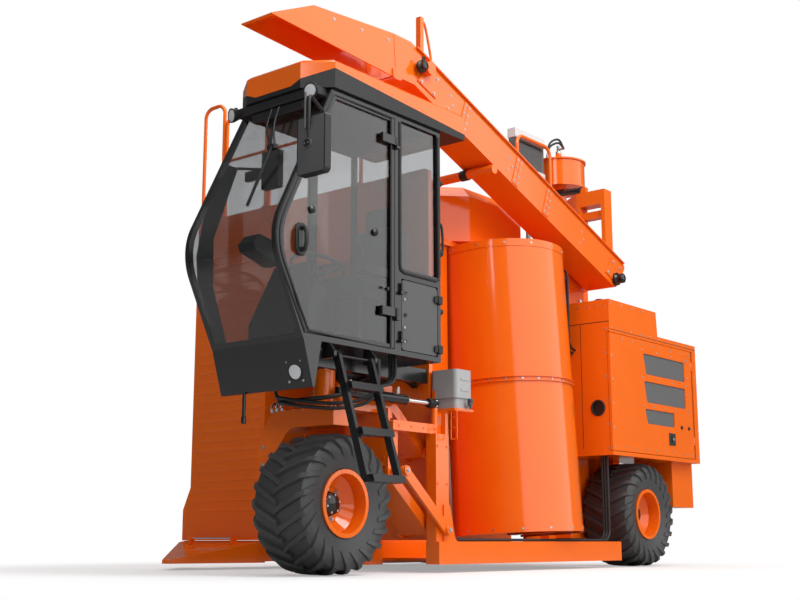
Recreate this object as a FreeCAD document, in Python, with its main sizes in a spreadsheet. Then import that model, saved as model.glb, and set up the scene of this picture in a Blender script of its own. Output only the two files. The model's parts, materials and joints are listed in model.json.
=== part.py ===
# Self-propelled coffee harvester: a tall portal that drives astride the coffee row on three wheels.
# Two upright picking rotors shake the row from both sides, plates near the ground catch the cherries,
# and a slewing conveyor unloads them. The driver sits over the front left wheel.
# Millimetres, +Z up, front towards -Y, the machine's left towards +X, Z = 0 on the ground.
# Pieces are drawn from the tunnel's middle (X), the front axle (Y) and the ground (Z).
# The datum cells then move them all, so that the origin is under the middle of the whole machine.
import FreeCAD, Part

import math
import os
import re

import Sketcher
from FreeCAD import Placement, Rotation, Vector

doc = FreeCAD.newDocument("coffee_harvester")
sheet = doc.addObject("Spreadsheet::Sheet", "Sizes")

SIZES = {
    # datum
    "datum_across": 147, "datum_along": 2101,
    # wheels
    "tyre_dia": 930, "tyre_width": 470, "rim_dia": 448, "rim_seat": 420, "rim_sheet": 14,
    "dish_depth": 190, "dish_flat": 120, "hub_hole": 130, "fit_gap": 0.3,
    "wheel_track": 2250, "wheel_base": 4120,
    # portal
    "tunnel_width": 1150, "tunnel_height": 2450, "portal_width": 2950, "portal_top": 3060,
    "wall_front": 1100, "wall_sheet": 40, "wall_foot": 230, "flare_top": 680, "flare_foot": 490,
    "flare_step": 90, "wall_notch": 1150, "notch_across": 1170, "deck_height": 2700, "deck_sheet": 50,
    "deck_rear": 4400, "wall_drop": 300, "inner_sheet": 30, "roof_half": 640,
    # leg frames
    "rail_foot": 60, "rail_height": 160, "rail_width": 120, "rail_across": 1240, "rail_rear": 3560,
    "post_width": 90, "post_depth": 150, "post_across": 1290, "post_along": 1040,
    "back_post": 120, "back_post_along": 4640, "axle_beam_height": 1000, "axle_beam": 110,
    "pan_height": 130, "pan_sheet": 20, "low_tie": 300, "post_top": 990, "gusset_sheet": 12,
    "tow_height": 380, "tow_radius": 15, "tow_sheet": 24,
    # picking rotors and their shells
    "rotor_along": 2640, "rotor_top_across": 745, "rotor_lean": 3.2, "rotor_drum": 110,
    "rotor_foot_gap": 100, "rotor_length": 2230, "shaft_radius": 30,
    "rod_length": 430, "rod_size": 16, "rod_rows": 12, "rod_count": 8,
    "shell_radius": 565, "shell_sheet": 16, "shell_length": 2430, "shell_sweep": 215,
    "shell_ring_height": 1220, "shell_ring_tall": 34, "shell_rib": 8, "shell_ring_proud": 16,
    # upper housing
    "housing_half": 750, "housing_front": 1750, "housing_rear": 3450, "housing_cut": 460,
    "housing_eave": 3150, "housing_slope": 110,
    # engine bay and tank
    "engine_side": 1425, "engine_width": 560, "engine_front": 3360, "engine_length": 1670,
    "engine_foot": 960, "engine_height": 1150, "engine_sheet": 25, "hood_rise": 230, "hood_length": 880,
    "intake_dia": 130, "intake_height": 1375, "engine_door_foot": 1000, "engine_door_height": 1040,
    "engine_door_rear": 110, "low_box_height": 420, "low_box_length": 400, "tank_height": 1000,
    "block_length": 1200, "block_width": 420, "block_height": 800, "block_foot": 1050,
    "support_leg": 140, "support_foot": 400, "support_top": 1200,
    "elevator_length": 340, "elevator_foot": 250, "elevator_top": 2590, "elevator_outer": 860, "head_top": 3050,
    # plates and dividers at the ground
    "plate_inner": 70, "plate_outer_height": 190, "plate_inner_height": 100, "plate_sheet": 12,
    "plate_length": 205, "plate_pitch": 226, "plate_count": 10, "plate_start": 1250,
    "divider_tip": 290, "divider_across": 800, "divider_foot": 50, "divider_top": 228, "divider_outer": 1565,
    # railing and cooler
    "rail_tube": 17.5, "rail_top": 4130, "cooler_across": 500, "cooler_along": 3250, "cooler_length": 500,
    "cooler_foot": 3700, "cooler_height": 350, "cooler_thick": 70,
    # hinges
    "hinge_pin": 8, "hinge_knuckle": 14, "hinge_tall": 60, "hinge_reach": 150, "run_gap": 5,
    # cab
    "cab_left": 1475, "cab_width": 850, "cab_tube": 36, "cab_sill": 1480, "cab_roof": 3215,
    "cab_rear": 850, "sill_front": 573, "kink_front": 885, "kink_height": 2110, "kink_radius": 400,
    "head_front": 332, "pillar_along": 364, "glass": 6, "door_gap": 6, "door_frame": 24, "door_thick": 34,
    "box_foot": 1180, "box_foot_front": 480, "box_back": 405,
    "seat_height": 2030, "console_height": 440, "console_deep": 120, "console_lean": 18, "steer_wheel": 190,
    "mirror_foot": 2450, "mirror_height": 385, "mirror_front": 829, "mirror_arm_height": 2965, "hatch_top": 2060,
    "roof_front": 470, "roof_rear": 1130, "roof_corner": 330, "roof_high": 205, "roof_edge": 25,
    "border_front": 137, "border_rear": 47, "border_low": 32,
    # conveyor
    "belt_side": 1225, "belt_width": 300, "belt_deep": 300, "belt_sheet": 12, "belt_angle": 20.43,
    "bend_along": 860, "bend_height": 3655, "belt_run": 3200, "seam_along": 642, "belt_tail": 205,
    "spout_nose": 259, "spout_tip": 665, "hanger_top": 4240,
    "slew_across": 500, "slew_along": 4080, "column_radius": 70, "drum_foot": 3660, "drum_tall": 280,
    "drum_radius": 270, "arm_low": 3300, "arm_tall": 200, "arm_along": 3700, "arm_deep": 130,
    "rest_across": 590, "rest_along": 1880, "rest_height": 3220, "rest_radius": 40,
    # front leg
    "arm_pivot_along": 1055, "arm_pivot_low": 300, "arm_pivot_high": 860, "arm_rise": 403, "arm_run": 478,
    "low_arm_inner": 950, "low_arm_outer": 1215, "high_arm_inner": 985, "high_arm_outer": 1165, "eye_radius": 37,
    "outer_arm": 1349, "outer_arm_sheet": 25, "pin_radius": 22, "lug_sheet": 29,
    "carrier_front": 535, "carrier_rear": 640, "steer_top": 1100,
    "fork_inner": 600, "fork_sheet": 120, "fork_half": 95, "fork_foot": 385, "lever_reach": 140, "cylinder_height": 1215,
    "cylinder_radius": 38, "rod_radius": 18, "eye_along": 1040, "barrel_rear": 700, "spindle_radius": 45,
    "housing_radius": 75, "housing_top": 1360,
    # ladder and canister
    "ladder_across": 1500, "ladder_height": 1400, "ladder_lean": 17.4, "ladder_length": 830,
    "ladder_front": -296, "ladder_width": 350, "ladder_first": 180, "tread_pitch": 312,
    "can_inner": 1180, "can_outer": 1425, "can_front": 1100, "can_rear": 1300, "can_foot": 1180, "can_top": 1470,
    "can_waist": 1258,
    # hoses
    "hose_radius": 11, "hose_bend": 88, "hose_pitch": 26,
}


def fill_sheet():
    for row, (alias, size) in enumerate(SIZES.items(), start=1):
        sheet.set(f"A{row}", alias.replace("_", " "))
        sheet.set(f"B{row}", str(size))
        sheet.setAlias(f"B{row}", alias)
    doc.recompute()


def tie(expression):
    """The expression with every size's name pointing at its cell."""
    return re.sub(r"[a-z_]+", lambda word: f"Sizes.{word[0]}" if word[0] in SIZES else word[0],
                  str(expression))


def number(expression):
    return float(sheet.evalExpression(tie(expression)))


PLANES = {"x": "YZ_Plane", "y": "XZ_Plane", "z": "XY_Plane"}
DATUM = ("-datum_across", "-datum_along", "0")
SUB_PARTS = []


def place(item, base=DATUM, axis=None, angle=0):
    """Bind an object's Placement to the sheet, turned about an axis if one is given."""
    if axis is not None:
        item.Placement = Placement(Vector(), Rotation(axis, number(angle)))
        item.setExpression("Placement.Rotation.Angle", tie(angle))
    for letter, expression in zip("xyz", base):
        item.setExpression(f"Placement.Base.{letter}", tie(expression))


def keep(item, name):
    item.Label = name
    SUB_PARTS.append(item)
    return item


def pin_point(sketch, geometry, end, corner):
    """Hold one point of the sketch at a corner's two expressions."""
    for kind, expression in zip(("DistanceX", "DistanceY"), corner):
        value = number(expression)
        index = sketch.addConstraint(Sketcher.Constraint(kind, -1, 1, geometry, end, value))
        sketch.setExpression(f"Constraints[{index}]", tie(expression))


def draw(sketch, corners, closed=True):
    """Lines between the corners, with an arc at each corner that gives a radius."""
    spots = [Vector(number(c[0]), number(c[1]), 0) for c in corners]
    count = len(corners)
    entry, leave = list(spots), list(spots)
    for i, corner in enumerate(corners):
        if len(corner) == 3:
            before = (spots[i - 1] - spots[i]).normalize()
            after = (spots[(i + 1) % count] - spots[i]).normalize()
            reach = number(corner[2]) / math.tan(before.getAngle(after) / 2)
            entry[i] = spots[i] + before * reach
            leave[i] = spots[i] + after * reach
    runs = range(count if closed else count - 1)
    lines = [sketch.addGeometry(Part.LineSegment(leave[i], entry[(i + 1) % count]), False) for i in runs]
    for i, corner in enumerate(corners):
        if not closed and i in (0, count - 1):
            pin_point(sketch, lines[0] if i == 0 else lines[-1], 1 if i == 0 else 2, corner)
            continue
        before, after = lines[i - 1], lines[i]
        if len(corner) == 2:
            sketch.addConstraint(Sketcher.Constraint("Coincident", before, 2, after, 1))
            pin_point(sketch, after, 1, corner)
            continue
        radius = number(corner[2])
        inward = ((entry[i] - spots[i]).normalize() + (leave[i] - spots[i]).normalize()).normalize()
        opening = (entry[i] - spots[i]).getAngle(leave[i] - spots[i])
        centre = spots[i] + inward * (radius / math.sin(opening / 2))
        middle = centre - inward * radius
        anticlockwise = (middle - entry[i]).cross(leave[i] - middle).z > 0
        first, last = (entry[i], leave[i]) if anticlockwise else (leave[i], entry[i])
        at_entry, at_leave = (1, 2) if anticlockwise else (2, 1)
        arc_index = sketch.addGeometry(Part.Arc(first, middle, last), False)
        sketch.addConstraint(Sketcher.Constraint("Tangent", before, 2, arc_index, at_entry))
        sketch.addConstraint(Sketcher.Constraint("Tangent", after, 1, arc_index, at_leave))
        index = sketch.addConstraint(Sketcher.Constraint("Radius", arc_index, radius))
        sketch.setExpression(f"Constraints[{index}]", tie(corner[2]))
        point = sketch.addGeometry(Part.Point(spots[i]), True)
        sketch.addConstraint(Sketcher.Constraint("PointOnObject", point, 1, before))
        sketch.addConstraint(Sketcher.Constraint("PointOnObject", point, 1, after))
        pin_point(sketch, point, 1, corner)


class Piece:
    """A PartDesign body, built from sketches whose sizes are read from the sheet."""

    def __init__(self, name, base=DATUM, axis=None, angle=0):
        self.body = doc.addObject("PartDesign::Body", name)
        place(self.body, base, axis, angle)
        keep(self.body, name)

    def sketch(self, across, at):
        """A sketch square to one axis: X shows Y and Z, Y shows X and Z, Z shows X and Y."""
        sketch = self.body.newObject("Sketcher::SketchObject", "outline")
        plane = next(f for f in self.body.Origin.OriginFeatures if f.Role == PLANES[across])
        sketch.AttachmentSupport = [(plane, "")]
        sketch.MapMode = "FlatFace"
        sign = "-1 * " if across == "y" else ""
        sketch.setExpression("AttachmentOffset.Base.z", tie(f"{sign}({at})"))
        return sketch

    def pad(self, across, corners, low, high):
        sketch = self.sketch(across, high if across == "y" else low)
        draw(sketch, corners)
        return self.extrude("PartDesign::Pad", sketch, low, high)

    def cut(self, across, corners, low, high):
        sketch = self.sketch(across, low if across == "y" else high)
        draw(sketch, corners)
        return self.extrude("PartDesign::Pocket", sketch, low, high)

    def rod(self, across, centre, radius, low, high, hole=False):
        at_high = hole != (across == "y")
        sketch = self.sketch(across, high if at_high else low)
        middle = Vector(number(centre[0]), number(centre[1]), 0)
        circle = sketch.addGeometry(Part.Circle(middle, Vector(0, 0, 1), number(radius)), False)
        pin_point(sketch, circle, 3, centre)
        index = sketch.addConstraint(Sketcher.Constraint("Radius", circle, number(radius)))
        sketch.setExpression(f"Constraints[{index}]", tie(radius))
        return self.extrude("PartDesign::Pocket" if hole else "PartDesign::Pad", sketch, low, high)

    def extrude(self, kind, sketch, low, high):
        feature = self.body.newObject(kind, "solid")
        feature.Profile = sketch
        feature.setExpression("Length", tie(f"({high}) - ({low})"))
        return feature

    def turn(self, along, centre, corners, sweep=None, start=None, hole=False):
        """Revolve a profile of (place along the axis, radius) about a line through centre."""
        across = "z" if along in "xy" else "y"
        sketch = self.body.newObject("Sketcher::SketchObject", "profile")
        plane = next(f for f in self.body.Origin.OriginFeatures if f.Role == PLANES[across])
        sketch.AttachmentSupport = [(plane, "")]
        sketch.MapMode = "FlatFace"
        if across == "z":
            offsets = centre
        else:
            offsets = (centre[0], centre[2], f"-1 * ({centre[1]})")
        for letter, expression in zip("xyz", offsets):
            sketch.setExpression(f"AttachmentOffset.Base.{letter}", tie(expression))
        draw(sketch, corners if along == "x" else [(c[1], c[0], *c[2:]) for c in corners])
        kind = "PartDesign::Groove" if hole else "PartDesign::Revolution"
        feature = self.body.newObject(kind, "turned")
        feature.Profile = sketch
        feature.ReferenceAxis = (sketch, ["H_Axis"] if along == "x" else ["V_Axis"])
        if sweep is None:
            feature.Angle = 360
        else:
            feature.Midplane = True
            feature.setExpression("Angle", tie(sweep))
        return feature


def boxed(first_low, first_high, second_low, second_high, *radius):
    """The four corners of a rectangle, rounded if a radius is given."""
    return [(first_low, second_low, *radius), (first_high, second_low, *radius),
            (first_high, second_high, *radius), (first_low, second_high, *radius)]


def ring_face(centre, along, side, radius):
    """Twelve-sided section of a tube, one corner towards side; flats keep the bends light to mesh."""
    up = along.cross(side)
    corners = []
    for step in range(13):
        turn = math.radians(30 * step)
        corners.append(centre + (side * math.cos(turn) + up * math.sin(turn)) * radius)
    return Part.Face(Part.makePolygon(corners))


def tube(points, radius, bend):
    """A bar along straight runs joined by tangent arcs."""
    spots = [Vector(*(number(c) for c in p)) for p in points]
    pieces, start = [], spots[0]
    for before, spot, after in zip(spots, spots[1:], spots[2:]):
        back, ahead = (before - spot).normalize(), (after - spot).normalize()
        half = back.getAngle(ahead) / 2
        entry = spot + back * (bend / math.tan(half))
        centre = spot + (back + ahead).normalize() * (bend / math.sin(half))
        turn_axis = (entry - centre).cross(spot - entry).normalize()
        section = ring_face(entry, back, turn_axis, radius)
        pieces.append(section.extrude(start - entry))
        pieces.append(section.revolve(centre, turn_axis, 180 - math.degrees(2 * half)))
        start = spot + ahead * (bend / math.tan(half))
    last = spots[-1]
    section = ring_face(last, (last - start).normalize(), turn_axis, radius)
    pieces.append(section.extrude(start - last))
    return pieces[0].fuse(pieces[1:])


def keep_shape(name, solids):
    """A sub-part of bent tubes, which no sketch plane holds."""
    item = doc.addObject("Part::Feature", name)
    item.Shape = solids[0] if len(solids) == 1 else Part.makeCompound(solids)
    place(item)
    return keep(item, name)


fill_sheet()


# ---------------------------------------------------------------- wheels

def wheel(name, out, along):
    """Tyre and rim of one wheel, turned about the axle; out is the side that the dish faces."""
    axle = (f"{out} * wheel_track / 2", along, "tyre_dia / 2")
    half, tread, seat = "tyre_width / 2", "tyre_dia / 2", "rim_seat / 2"
    bead = f"{half} - 38"
    tyre = Piece(f"{name}_tyre")
    tyre.turn("x", axle, [
        (f"-({bead})", f"{seat} + fit_gap"), (f"-({bead})", f"{seat} + 30"), (f"-{half}", f"{tread} - 120"),
        (f"-{half} + 55", tread), (f"{half} - 55", tread), (half, f"{tread} - 120"),
        (bead, f"{seat} + 30"), (bead, f"{seat} + fit_gap")])
    inner = f"({bead} + fit_gap)"
    outer = f"({bead} + fit_gap + rim_sheet)"
    disc = f"({half} - dish_depth)"
    rim = Piece(f"{name}_rim")
    profile = [(f"-{outer}", f"{seat} - rim_sheet"), (f"-{outer}", "rim_dia / 2"), (f"-{inner}", "rim_dia / 2"),
               (f"-{inner}", seat), (inner, seat), (inner, "rim_dia / 2"), (outer, "rim_dia / 2"),
               (outer, f"{seat} - rim_sheet"), (f"{disc} + 60", f"{seat} - rim_sheet"),
               (disc, "dish_flat"), (disc, "hub_hole / 2"), (f"{disc} - rim_sheet", "hub_hole / 2"),
               (f"{disc} - rim_sheet", "dish_flat"), (f"{disc} + 30", f"{seat} - rim_sheet")]
    rim.turn("x", axle, [(f"{out} * ({c[0]})", *c[1:]) for c in profile])


for name, out, along in (("front_left", 1, 0), ("rear_left", 1, "wheel_base"), ("rear_right", -1, "wheel_base")):
    wheel(name, out, along)


# ---------------------------------------------------------------- portal and leg frames

def arm_lug(wall, pivot, low, high):
    """An ear on the front wall for a pin of the wheel's parallel arms."""
    wall.pad("x", [("arm_pivot_along - eye_radius", f"{pivot} - eye_radius", 30),
                  ("wall_front", f"{pivot} - eye_radius - 25"), ("wall_front", f"{pivot} + eye_radius + 25"),
                  ("arm_pivot_along - eye_radius", f"{pivot} + eye_radius", 30)], low, high)
    wall.rod("x", ("arm_pivot_along", pivot), "pin_radius + fit_gap", low, high, hole=True)


def front_wall():
    """One plate across the machine's front, notched for the tunnel, flared at the right leg's foot."""
    wall = Piece("front_wall")
    right, gap = "-portal_width / 2", "tunnel_width / 2"
    left = "(post_across - post_width / 2)"
    wall.pad("y", [
        (right, "portal_top", 40), (right, "flare_top"), (f"{right} - flare_step", "flare_foot"),
        (f"{right} - flare_step", "wall_foot"), (f"-{gap}", "wall_foot"),
        (f"-{gap}", "tunnel_height", 150), (gap, "tunnel_height", 150), (gap, "wall_foot"),
        (left, "wall_foot"), (left, "wall_notch - 20"), ("notch_across", "wall_notch"),
        ("notch_across", "portal_top", 40)], "wall_front", "wall_front + wall_sheet")
    for height in ("flare_top + 700", "flare_top + 1500"):
        wall.pad("y", boxed(f"{right} + 60", f"-{gap} - 60", height, f"{height} + 40"),
                 "wall_front + wall_sheet", "wall_front + wall_sheet + 40")
    for pivot, inside, outside in (("arm_pivot_low", "low_arm_inner", "low_arm_outer"),
                                   ("arm_pivot_high", "high_arm_inner", "high_arm_outer")):
        for low, high in ((f"{inside} - fit_gap - lug_sheet", f"{inside} - fit_gap"),
                          (f"{outside} + fit_gap", f"{outside} + fit_gap + lug_sheet")):
            arm_lug(wall, pivot, low, high)


def leg_frame(name, side):
    """Inner walls before and behind the rotor, foot rail, floor pan and back post of one leg."""
    leg = Piece(name)
    back = "wall_front + wall_sheet"
    inner, skin = "(tunnel_width / 2)", "(tunnel_width / 2 + inner_sheet)"

    def across(first, second):
        """The two X values in rising order, mirrored to the leg's side."""
        return (first, second) if side > 0 else (f"-({second})", f"-({first})")

    rotor_gap = "shell_radius"
    low, high = across(inner, skin)
    leg.pad("x", boxed(back, f"rotor_along - {rotor_gap}", "pan_height", "deck_height"), low, high)
    rear_end = "(back_post_along + back_post / 2)"
    leg.pad("x", [(f"rotor_along + {rotor_gap}", "pan_height"), (rear_end, "pan_height"),
                  (rear_end, "deck_height - wall_drop"), ("deck_rear", "deck_height - wall_drop"),
                  ("deck_rear", "deck_height"), (f"rotor_along + {rotor_gap}", "deck_height")], low, high)
    leg.pad("x", boxed(back, "rail_rear", "rail_foot", "rail_foot + rail_height"),
            *across(inner, f"{inner} + 90"))
    leg.pad("x", boxed(back if side < 0 else "post_along - post_depth / 2", "rail_rear",
                       "rail_foot", "rail_foot + rail_height"),
            *across("rail_across", "rail_across + rail_width"))
    leg.pad("z", boxed(*across(f"{inner} + 80", "rail_across + 10"), back, "rail_rear"),
            "rail_foot + 20", "rail_foot + 20 + pan_sheet")
    leg.pad("z", boxed(*across(f"{skin} - 10", f"{skin} + back_post"),
                       "back_post_along - back_post / 2", "back_post_along + back_post / 2"),
            "low_tie", "deck_height - 250")
    leg.pad("z", boxed(*across(f"{skin} - 10", f"{skin} + 90"), "rail_rear - 120", "rail_rear"),
            "rail_foot", "deck_height - 250")
    leg.pad("y", boxed(*across(f"{skin} - 10", f"{skin} + back_post"),
                       "axle_beam_height", "axle_beam_height + axle_beam"),
            "rail_rear + elevator_length", "back_post_along")
    tow = across(f"{skin} + back_post / 2 - tow_sheet / 2", f"{skin} + back_post / 2 + tow_sheet / 2")
    leg.pad("x", [(f"{rear_end} - 10", "tow_height - 60"), (f"{rear_end} + 30", "tow_height - 45", 10),
                  (f"{rear_end} + 90", "tow_height - 40", 30), (f"{rear_end} + 90", "tow_height + 40", 30),
                  (f"{rear_end} - 10", "tow_height + 60")], *tow)
    leg.rod("x", (f"{rear_end} + 50", "tow_height"), "tow_radius", *tow, hole=True)
    if side > 0:
        leg.pad("z", boxed("post_across - post_width / 2", "post_across + post_width / 2",
                           "post_along - post_depth / 2", "post_along + post_depth / 2"),
                "rail_foot", "post_top")
        leg.pad("x", [("post_along", "rail_foot"), ("post_along + post_depth / 2 + 190", "rail_foot"),
                      ("post_along + post_depth / 2 + 190", "rail_foot + rail_height - 30", 30),
                      ("post_along + post_depth / 2 + 60", "rail_foot + rail_height + 10", 60),
                      ("post_along + post_depth / 2", "rail_foot + 420"), ("post_along", "rail_foot + 420")],
                "post_across + post_width / 2 - 12", "post_across + post_width / 2 + gusset_sheet")
        leg.pad("z", boxed("post_across + 5", "post_across + 40", "post_along + 45", "post_along + post_depth / 2"),
                "post_top - 20", "can_foot - 10")
        leg.pad("z", boxed("can_inner", "can_outer", "post_along + 45", "can_rear", 15),
                "can_foot - 20", "can_foot")
        leg.rod("x", ("arm_pivot_along", "arm_pivot_low"), "pin_radius + fit_gap", "post_across - post_width / 2",
                "post_across + post_width / 2 + gusset_sheet", hole=True)


front_wall()
leg_frame("left_leg_frame", 1)
leg_frame("right_leg_frame", -1)

roof = Piece("portal_roof")
roof.pad("z", boxed("-roof_half", "roof_half", "wall_front + wall_sheet", "deck_rear"),
         "deck_height", "deck_height + deck_sheet")
for side in (1, -1):
    for low, high in (("-450", "-390"), ("390", "450")):
        hanger = sorted((f"({side} * (roof_half - 15))", f"({side} * roof_half)"), key=number)
        roof.pad("z", boxed(*hanger, f"rotor_along + {low}", f"rotor_along + {high}"),
                 "deck_height - (rotor_top_across - roof_half) * tan(rotor_lean) + fit_gap", "deck_height + 5")
roof.cut("z", boxed("-tunnel_width / 2 + 120", "tunnel_width / 2 - 120", "housing_front + 200",
                    "housing_rear - 200", 120), "deck_height", "deck_height + deck_sheet")

housing = Piece("upper_housing")
cut_corner = "(housing_half - housing_cut)"
housing.pad("z", [
    (f"-{cut_corner}", "housing_front"), (cut_corner, "housing_front"),
    ("housing_half", "housing_front + housing_cut"), ("housing_half", "housing_rear - housing_cut"),
    (cut_corner, "housing_rear"), (f"-{cut_corner}", "housing_rear"),
    ("-housing_half", "housing_rear - housing_cut"), ("-housing_half", "housing_front + housing_cut")],
    "deck_height + deck_sheet", "housing_eave")
slope = housing.pad("z", [
    (f"-{cut_corner}", "housing_front"), (cut_corner, "housing_front"),
    ("housing_half", "housing_front + housing_cut"), ("housing_half", "housing_rear - housing_cut"),
    (cut_corner, "housing_rear"), (f"-{cut_corner}", "housing_rear"),
    ("-housing_half", "housing_rear - housing_cut"), ("-housing_half", "housing_front + housing_cut")],
    "housing_eave", "housing_eave + housing_slope")
slope.TaperAngle = -45


# ---------------------------------------------------------------- picking rotors and shells

def rotor_base(side):
    return (f"{side} * rotor_top_across - datum_across", "rotor_along - datum_along", "deck_height")


def rotor_shell(name, side):
    """Curved cover round one rotor, open to the tunnel, with a bolted ring at half height."""
    shell = Piece(name, rotor_base(side), Vector(0, 1, 0), f"-{side} * rotor_lean")
    foot = "-shell_length"
    inside = "(shell_radius - shell_sheet)"

    def wrap(corners, sweep="shell_sweep"):
        return shell.turn("z", ("0", "0", "0"), [(c[0], f"{side} * ({c[1]})", *c[2:]) for c in corners], sweep)

    wrap(boxed(foot, "0", inside, "shell_radius"))
    ring = "(shell_ring_height - shell_length)"
    proud = "(shell_radius + shell_ring_proud)"
    wrap(boxed(ring, f"{ring} + shell_rib", "shell_radius - 2", proud))
    wrap(boxed(f"{ring} + shell_ring_tall", f"{ring} + shell_ring_tall + shell_rib", "shell_radius - 2", proud))
    wrap(boxed("-shell_sheet", "0", "shaft_radius + 12", f"{inside} + 2"))
    across = ("-shell_radius + 4", "60") if side < 0 else ("-60", "shell_radius - 4")
    shell.pad("z", boxed(*across, "-45", "45"), foot, f"{foot} + 30")
    shell.rod("z", ("0", "0"), "shaft_radius + fit_gap", foot, f"{foot} + 30", hole=True)


def picking_rotor(name, side):
    """A drum with rows of rods all round, on a shaft that runs from the foot arm to the cap."""
    rotor = Piece(name, rotor_base(side), Vector(0, 1, 0), f"-{side} * rotor_lean")
    rotor.rod("z", ("0", "0"), "rotor_drum / 2", "-rotor_foot_gap - rotor_length", "-rotor_foot_gap")
    rotor.rod("z", ("0", "0"), "shaft_radius", "-shell_length + 5", "-5")
    row = rotor.pad("x", boxed("-rod_size / 2", "rod_size / 2",
                               "-rotor_foot_gap - rotor_length + 60 - rod_size / 2",
                               "-rotor_foot_gap - rotor_length + 60 + rod_size / 2"),
                    "rotor_drum / 2 - 10", "rotor_drum / 2 + rod_length")
    doc.recompute()
    grid = rotor.body.newObject("PartDesign::MultiTransform", "rods")
    upright = next(f for f in rotor.body.Origin.OriginFeatures if f.Role == "Z_Axis")
    rows = rotor.body.newObject("PartDesign::LinearPattern", "rows")
    rows.Direction = (upright, [""])
    rows.setExpression("Length", tie("rotor_length - 120"))
    rows.setExpression("Occurrences", tie("rod_rows"))
    ring = rotor.body.newObject("PartDesign::PolarPattern", "ring")
    ring.Axis = (upright, [""])
    ring.Angle = 360
    ring.setExpression("Occurrences", tie("rod_count"))
    grid.Transformations = [rows, ring]
    grid.Originals = [row]
    rotor.body.Tip = grid


for name, side in (("left", 1), ("right", -1)):
    rotor_shell(f"{name}_rotor_shell", side)
    picking_rotor(f"{name}_picking_rotor", side)

# ---------------------------------------------------------------- plates and dividers at the ground

def catch_plates(name, side):
    """Sloping plates in a row along one side of the tunnel, on a strip that is fixed to the foot rail."""
    plates = Piece(name)
    edge = f"({side} * tunnel_width / 2)"
    tip = f"({side} * plate_inner)"
    strip = sorted((edge, f"({edge} - {side} * 12)"), key=number)
    plates.pad("y", boxed(*strip, "plate_outer_height - 50", "plate_outer_height + 20"),
               "plate_start", "plate_start + plate_pitch * (plate_count - 1) + plate_length")
    plate = plates.pad("y", [
        (f"{edge} - {side} * 6", "plate_outer_height - plate_sheet"), (tip, "plate_inner_height - plate_sheet"),
        (tip, "plate_inner_height"), (f"{edge} - {side} * 6", "plate_outer_height")],
        "plate_start", "plate_start + plate_length")
    doc.recompute()
    row = plates.body.newObject("PartDesign::LinearPattern", "row")
    row.Originals = [plate]
    row.Direction = (next(f for f in plates.body.Origin.OriginFeatures if f.Role == "Y_Axis"), [""])
    row.setExpression("Length", tie("plate_pitch * (plate_count - 1)"))
    row.setExpression("Occurrences", tie("plate_count"))
    plates.body.Tip = row


def row_dividers():
    """A low pointed shoe ahead of the right leg, and a short one inboard of the front left wheel."""
    right = Piece("right_row_divider")
    right.pad("x", [("divider_tip", "divider_foot"), ("wall_front + wall_sheet", "divider_foot"),
                    ("wall_front + wall_sheet", "divider_top"), ("divider_tip", "divider_foot + 30", 14)],
              "-divider_outer", "-tunnel_width / 2")
    right.cut("z", [("-divider_across - 40", "divider_tip - 10"), ("-divider_outer - 10", "divider_tip - 10"),
                    ("-divider_outer - 10", "wall_front - 30"), ("-divider_outer", "wall_front - 30")],
              "divider_foot", "divider_top")
    right.cut("z", [("-divider_across + 40", "divider_tip - 10"), ("-tunnel_width / 2", "wall_front - 60"),
                    ("-tunnel_width / 2 + 10", "wall_front - 60"), ("-tunnel_width / 2 + 10", "divider_tip - 10")],
              "divider_foot", "divider_top")
    left = Piece("left_row_divider")
    left.pad("x", [("divider_tip + 350", "divider_foot"), ("wall_front + wall_sheet", "divider_foot"),
                   ("wall_front + wall_sheet", "divider_top"), ("divider_tip + 350", "divider_foot + 30", 14)],
             "tunnel_width / 2", "tunnel_width / 2 + 110")
    left.cut("z", [("tunnel_width / 2 + 40", "divider_tip + 340"), ("tunnel_width / 2 + 120", "divider_tip + 340"),
                   ("tunnel_width / 2 + 120", "wall_front - 120"), ("tunnel_width / 2 + 110", "wall_front - 120")],
             "divider_foot", "divider_top")


catch_plates("left_catch_plates", 1)
catch_plates("right_catch_plates", -1)
row_dividers()


# ---------------------------------------------------------------- rear wheels' supports, elevators

def rear_support(name, side):
    """Box leg beside a rear wheel, with the fixed hub that the wheel turns on."""
    leg = Piece(name)
    inner = f"({side} * (tunnel_width / 2 + inner_sheet + back_post))"
    outer = f"({side} * (tunnel_width / 2 + inner_sheet + back_post + support_leg))"
    leg.pad("x", [("wheel_base - 60", "support_foot", 40), ("wheel_base + 60", "support_foot", 40),
                  ("wheel_base + 90", "support_top"), ("wheel_base - 90", "support_top")],
            *sorted((inner, outer), key=number))
    leg.rod("x", ("wheel_base", "tyre_dia / 2"), "hub_hole / 2 - fit_gap",
            *sorted((outer, f"{side} * (wheel_track / 2 + 65)"), key=number))


def elevator(name, side, head):
    """Boxed bucket elevator behind one rotor, with a spout head on the left one."""
    lift = Piece(name)
    inner, outer = (f"({side} * roof_half)", f"({side} * elevator_outer)")
    lift.pad("z", boxed(*sorted((inner, outer), key=number), "rail_rear", "rail_rear + elevator_length", 18),
             "elevator_foot", "elevator_top")
    if head:
        lift.pad("x", [("rail_rear", "elevator_top - 40"), ("rail_rear + elevator_length", "elevator_top - 40"),
                       ("rail_rear + elevator_length", "head_top", 120), ("rail_rear", "head_top", 60)],
                 *sorted((inner, f"({side} * (elevator_outer + 15))"), key=number))


rear_support("left_rear_support", 1)
rear_support("right_rear_support", -1)
elevator("left_elevator", 1, True)
elevator("right_elevator", -1, False)


# ---------------------------------------------------------------- hinges

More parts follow.
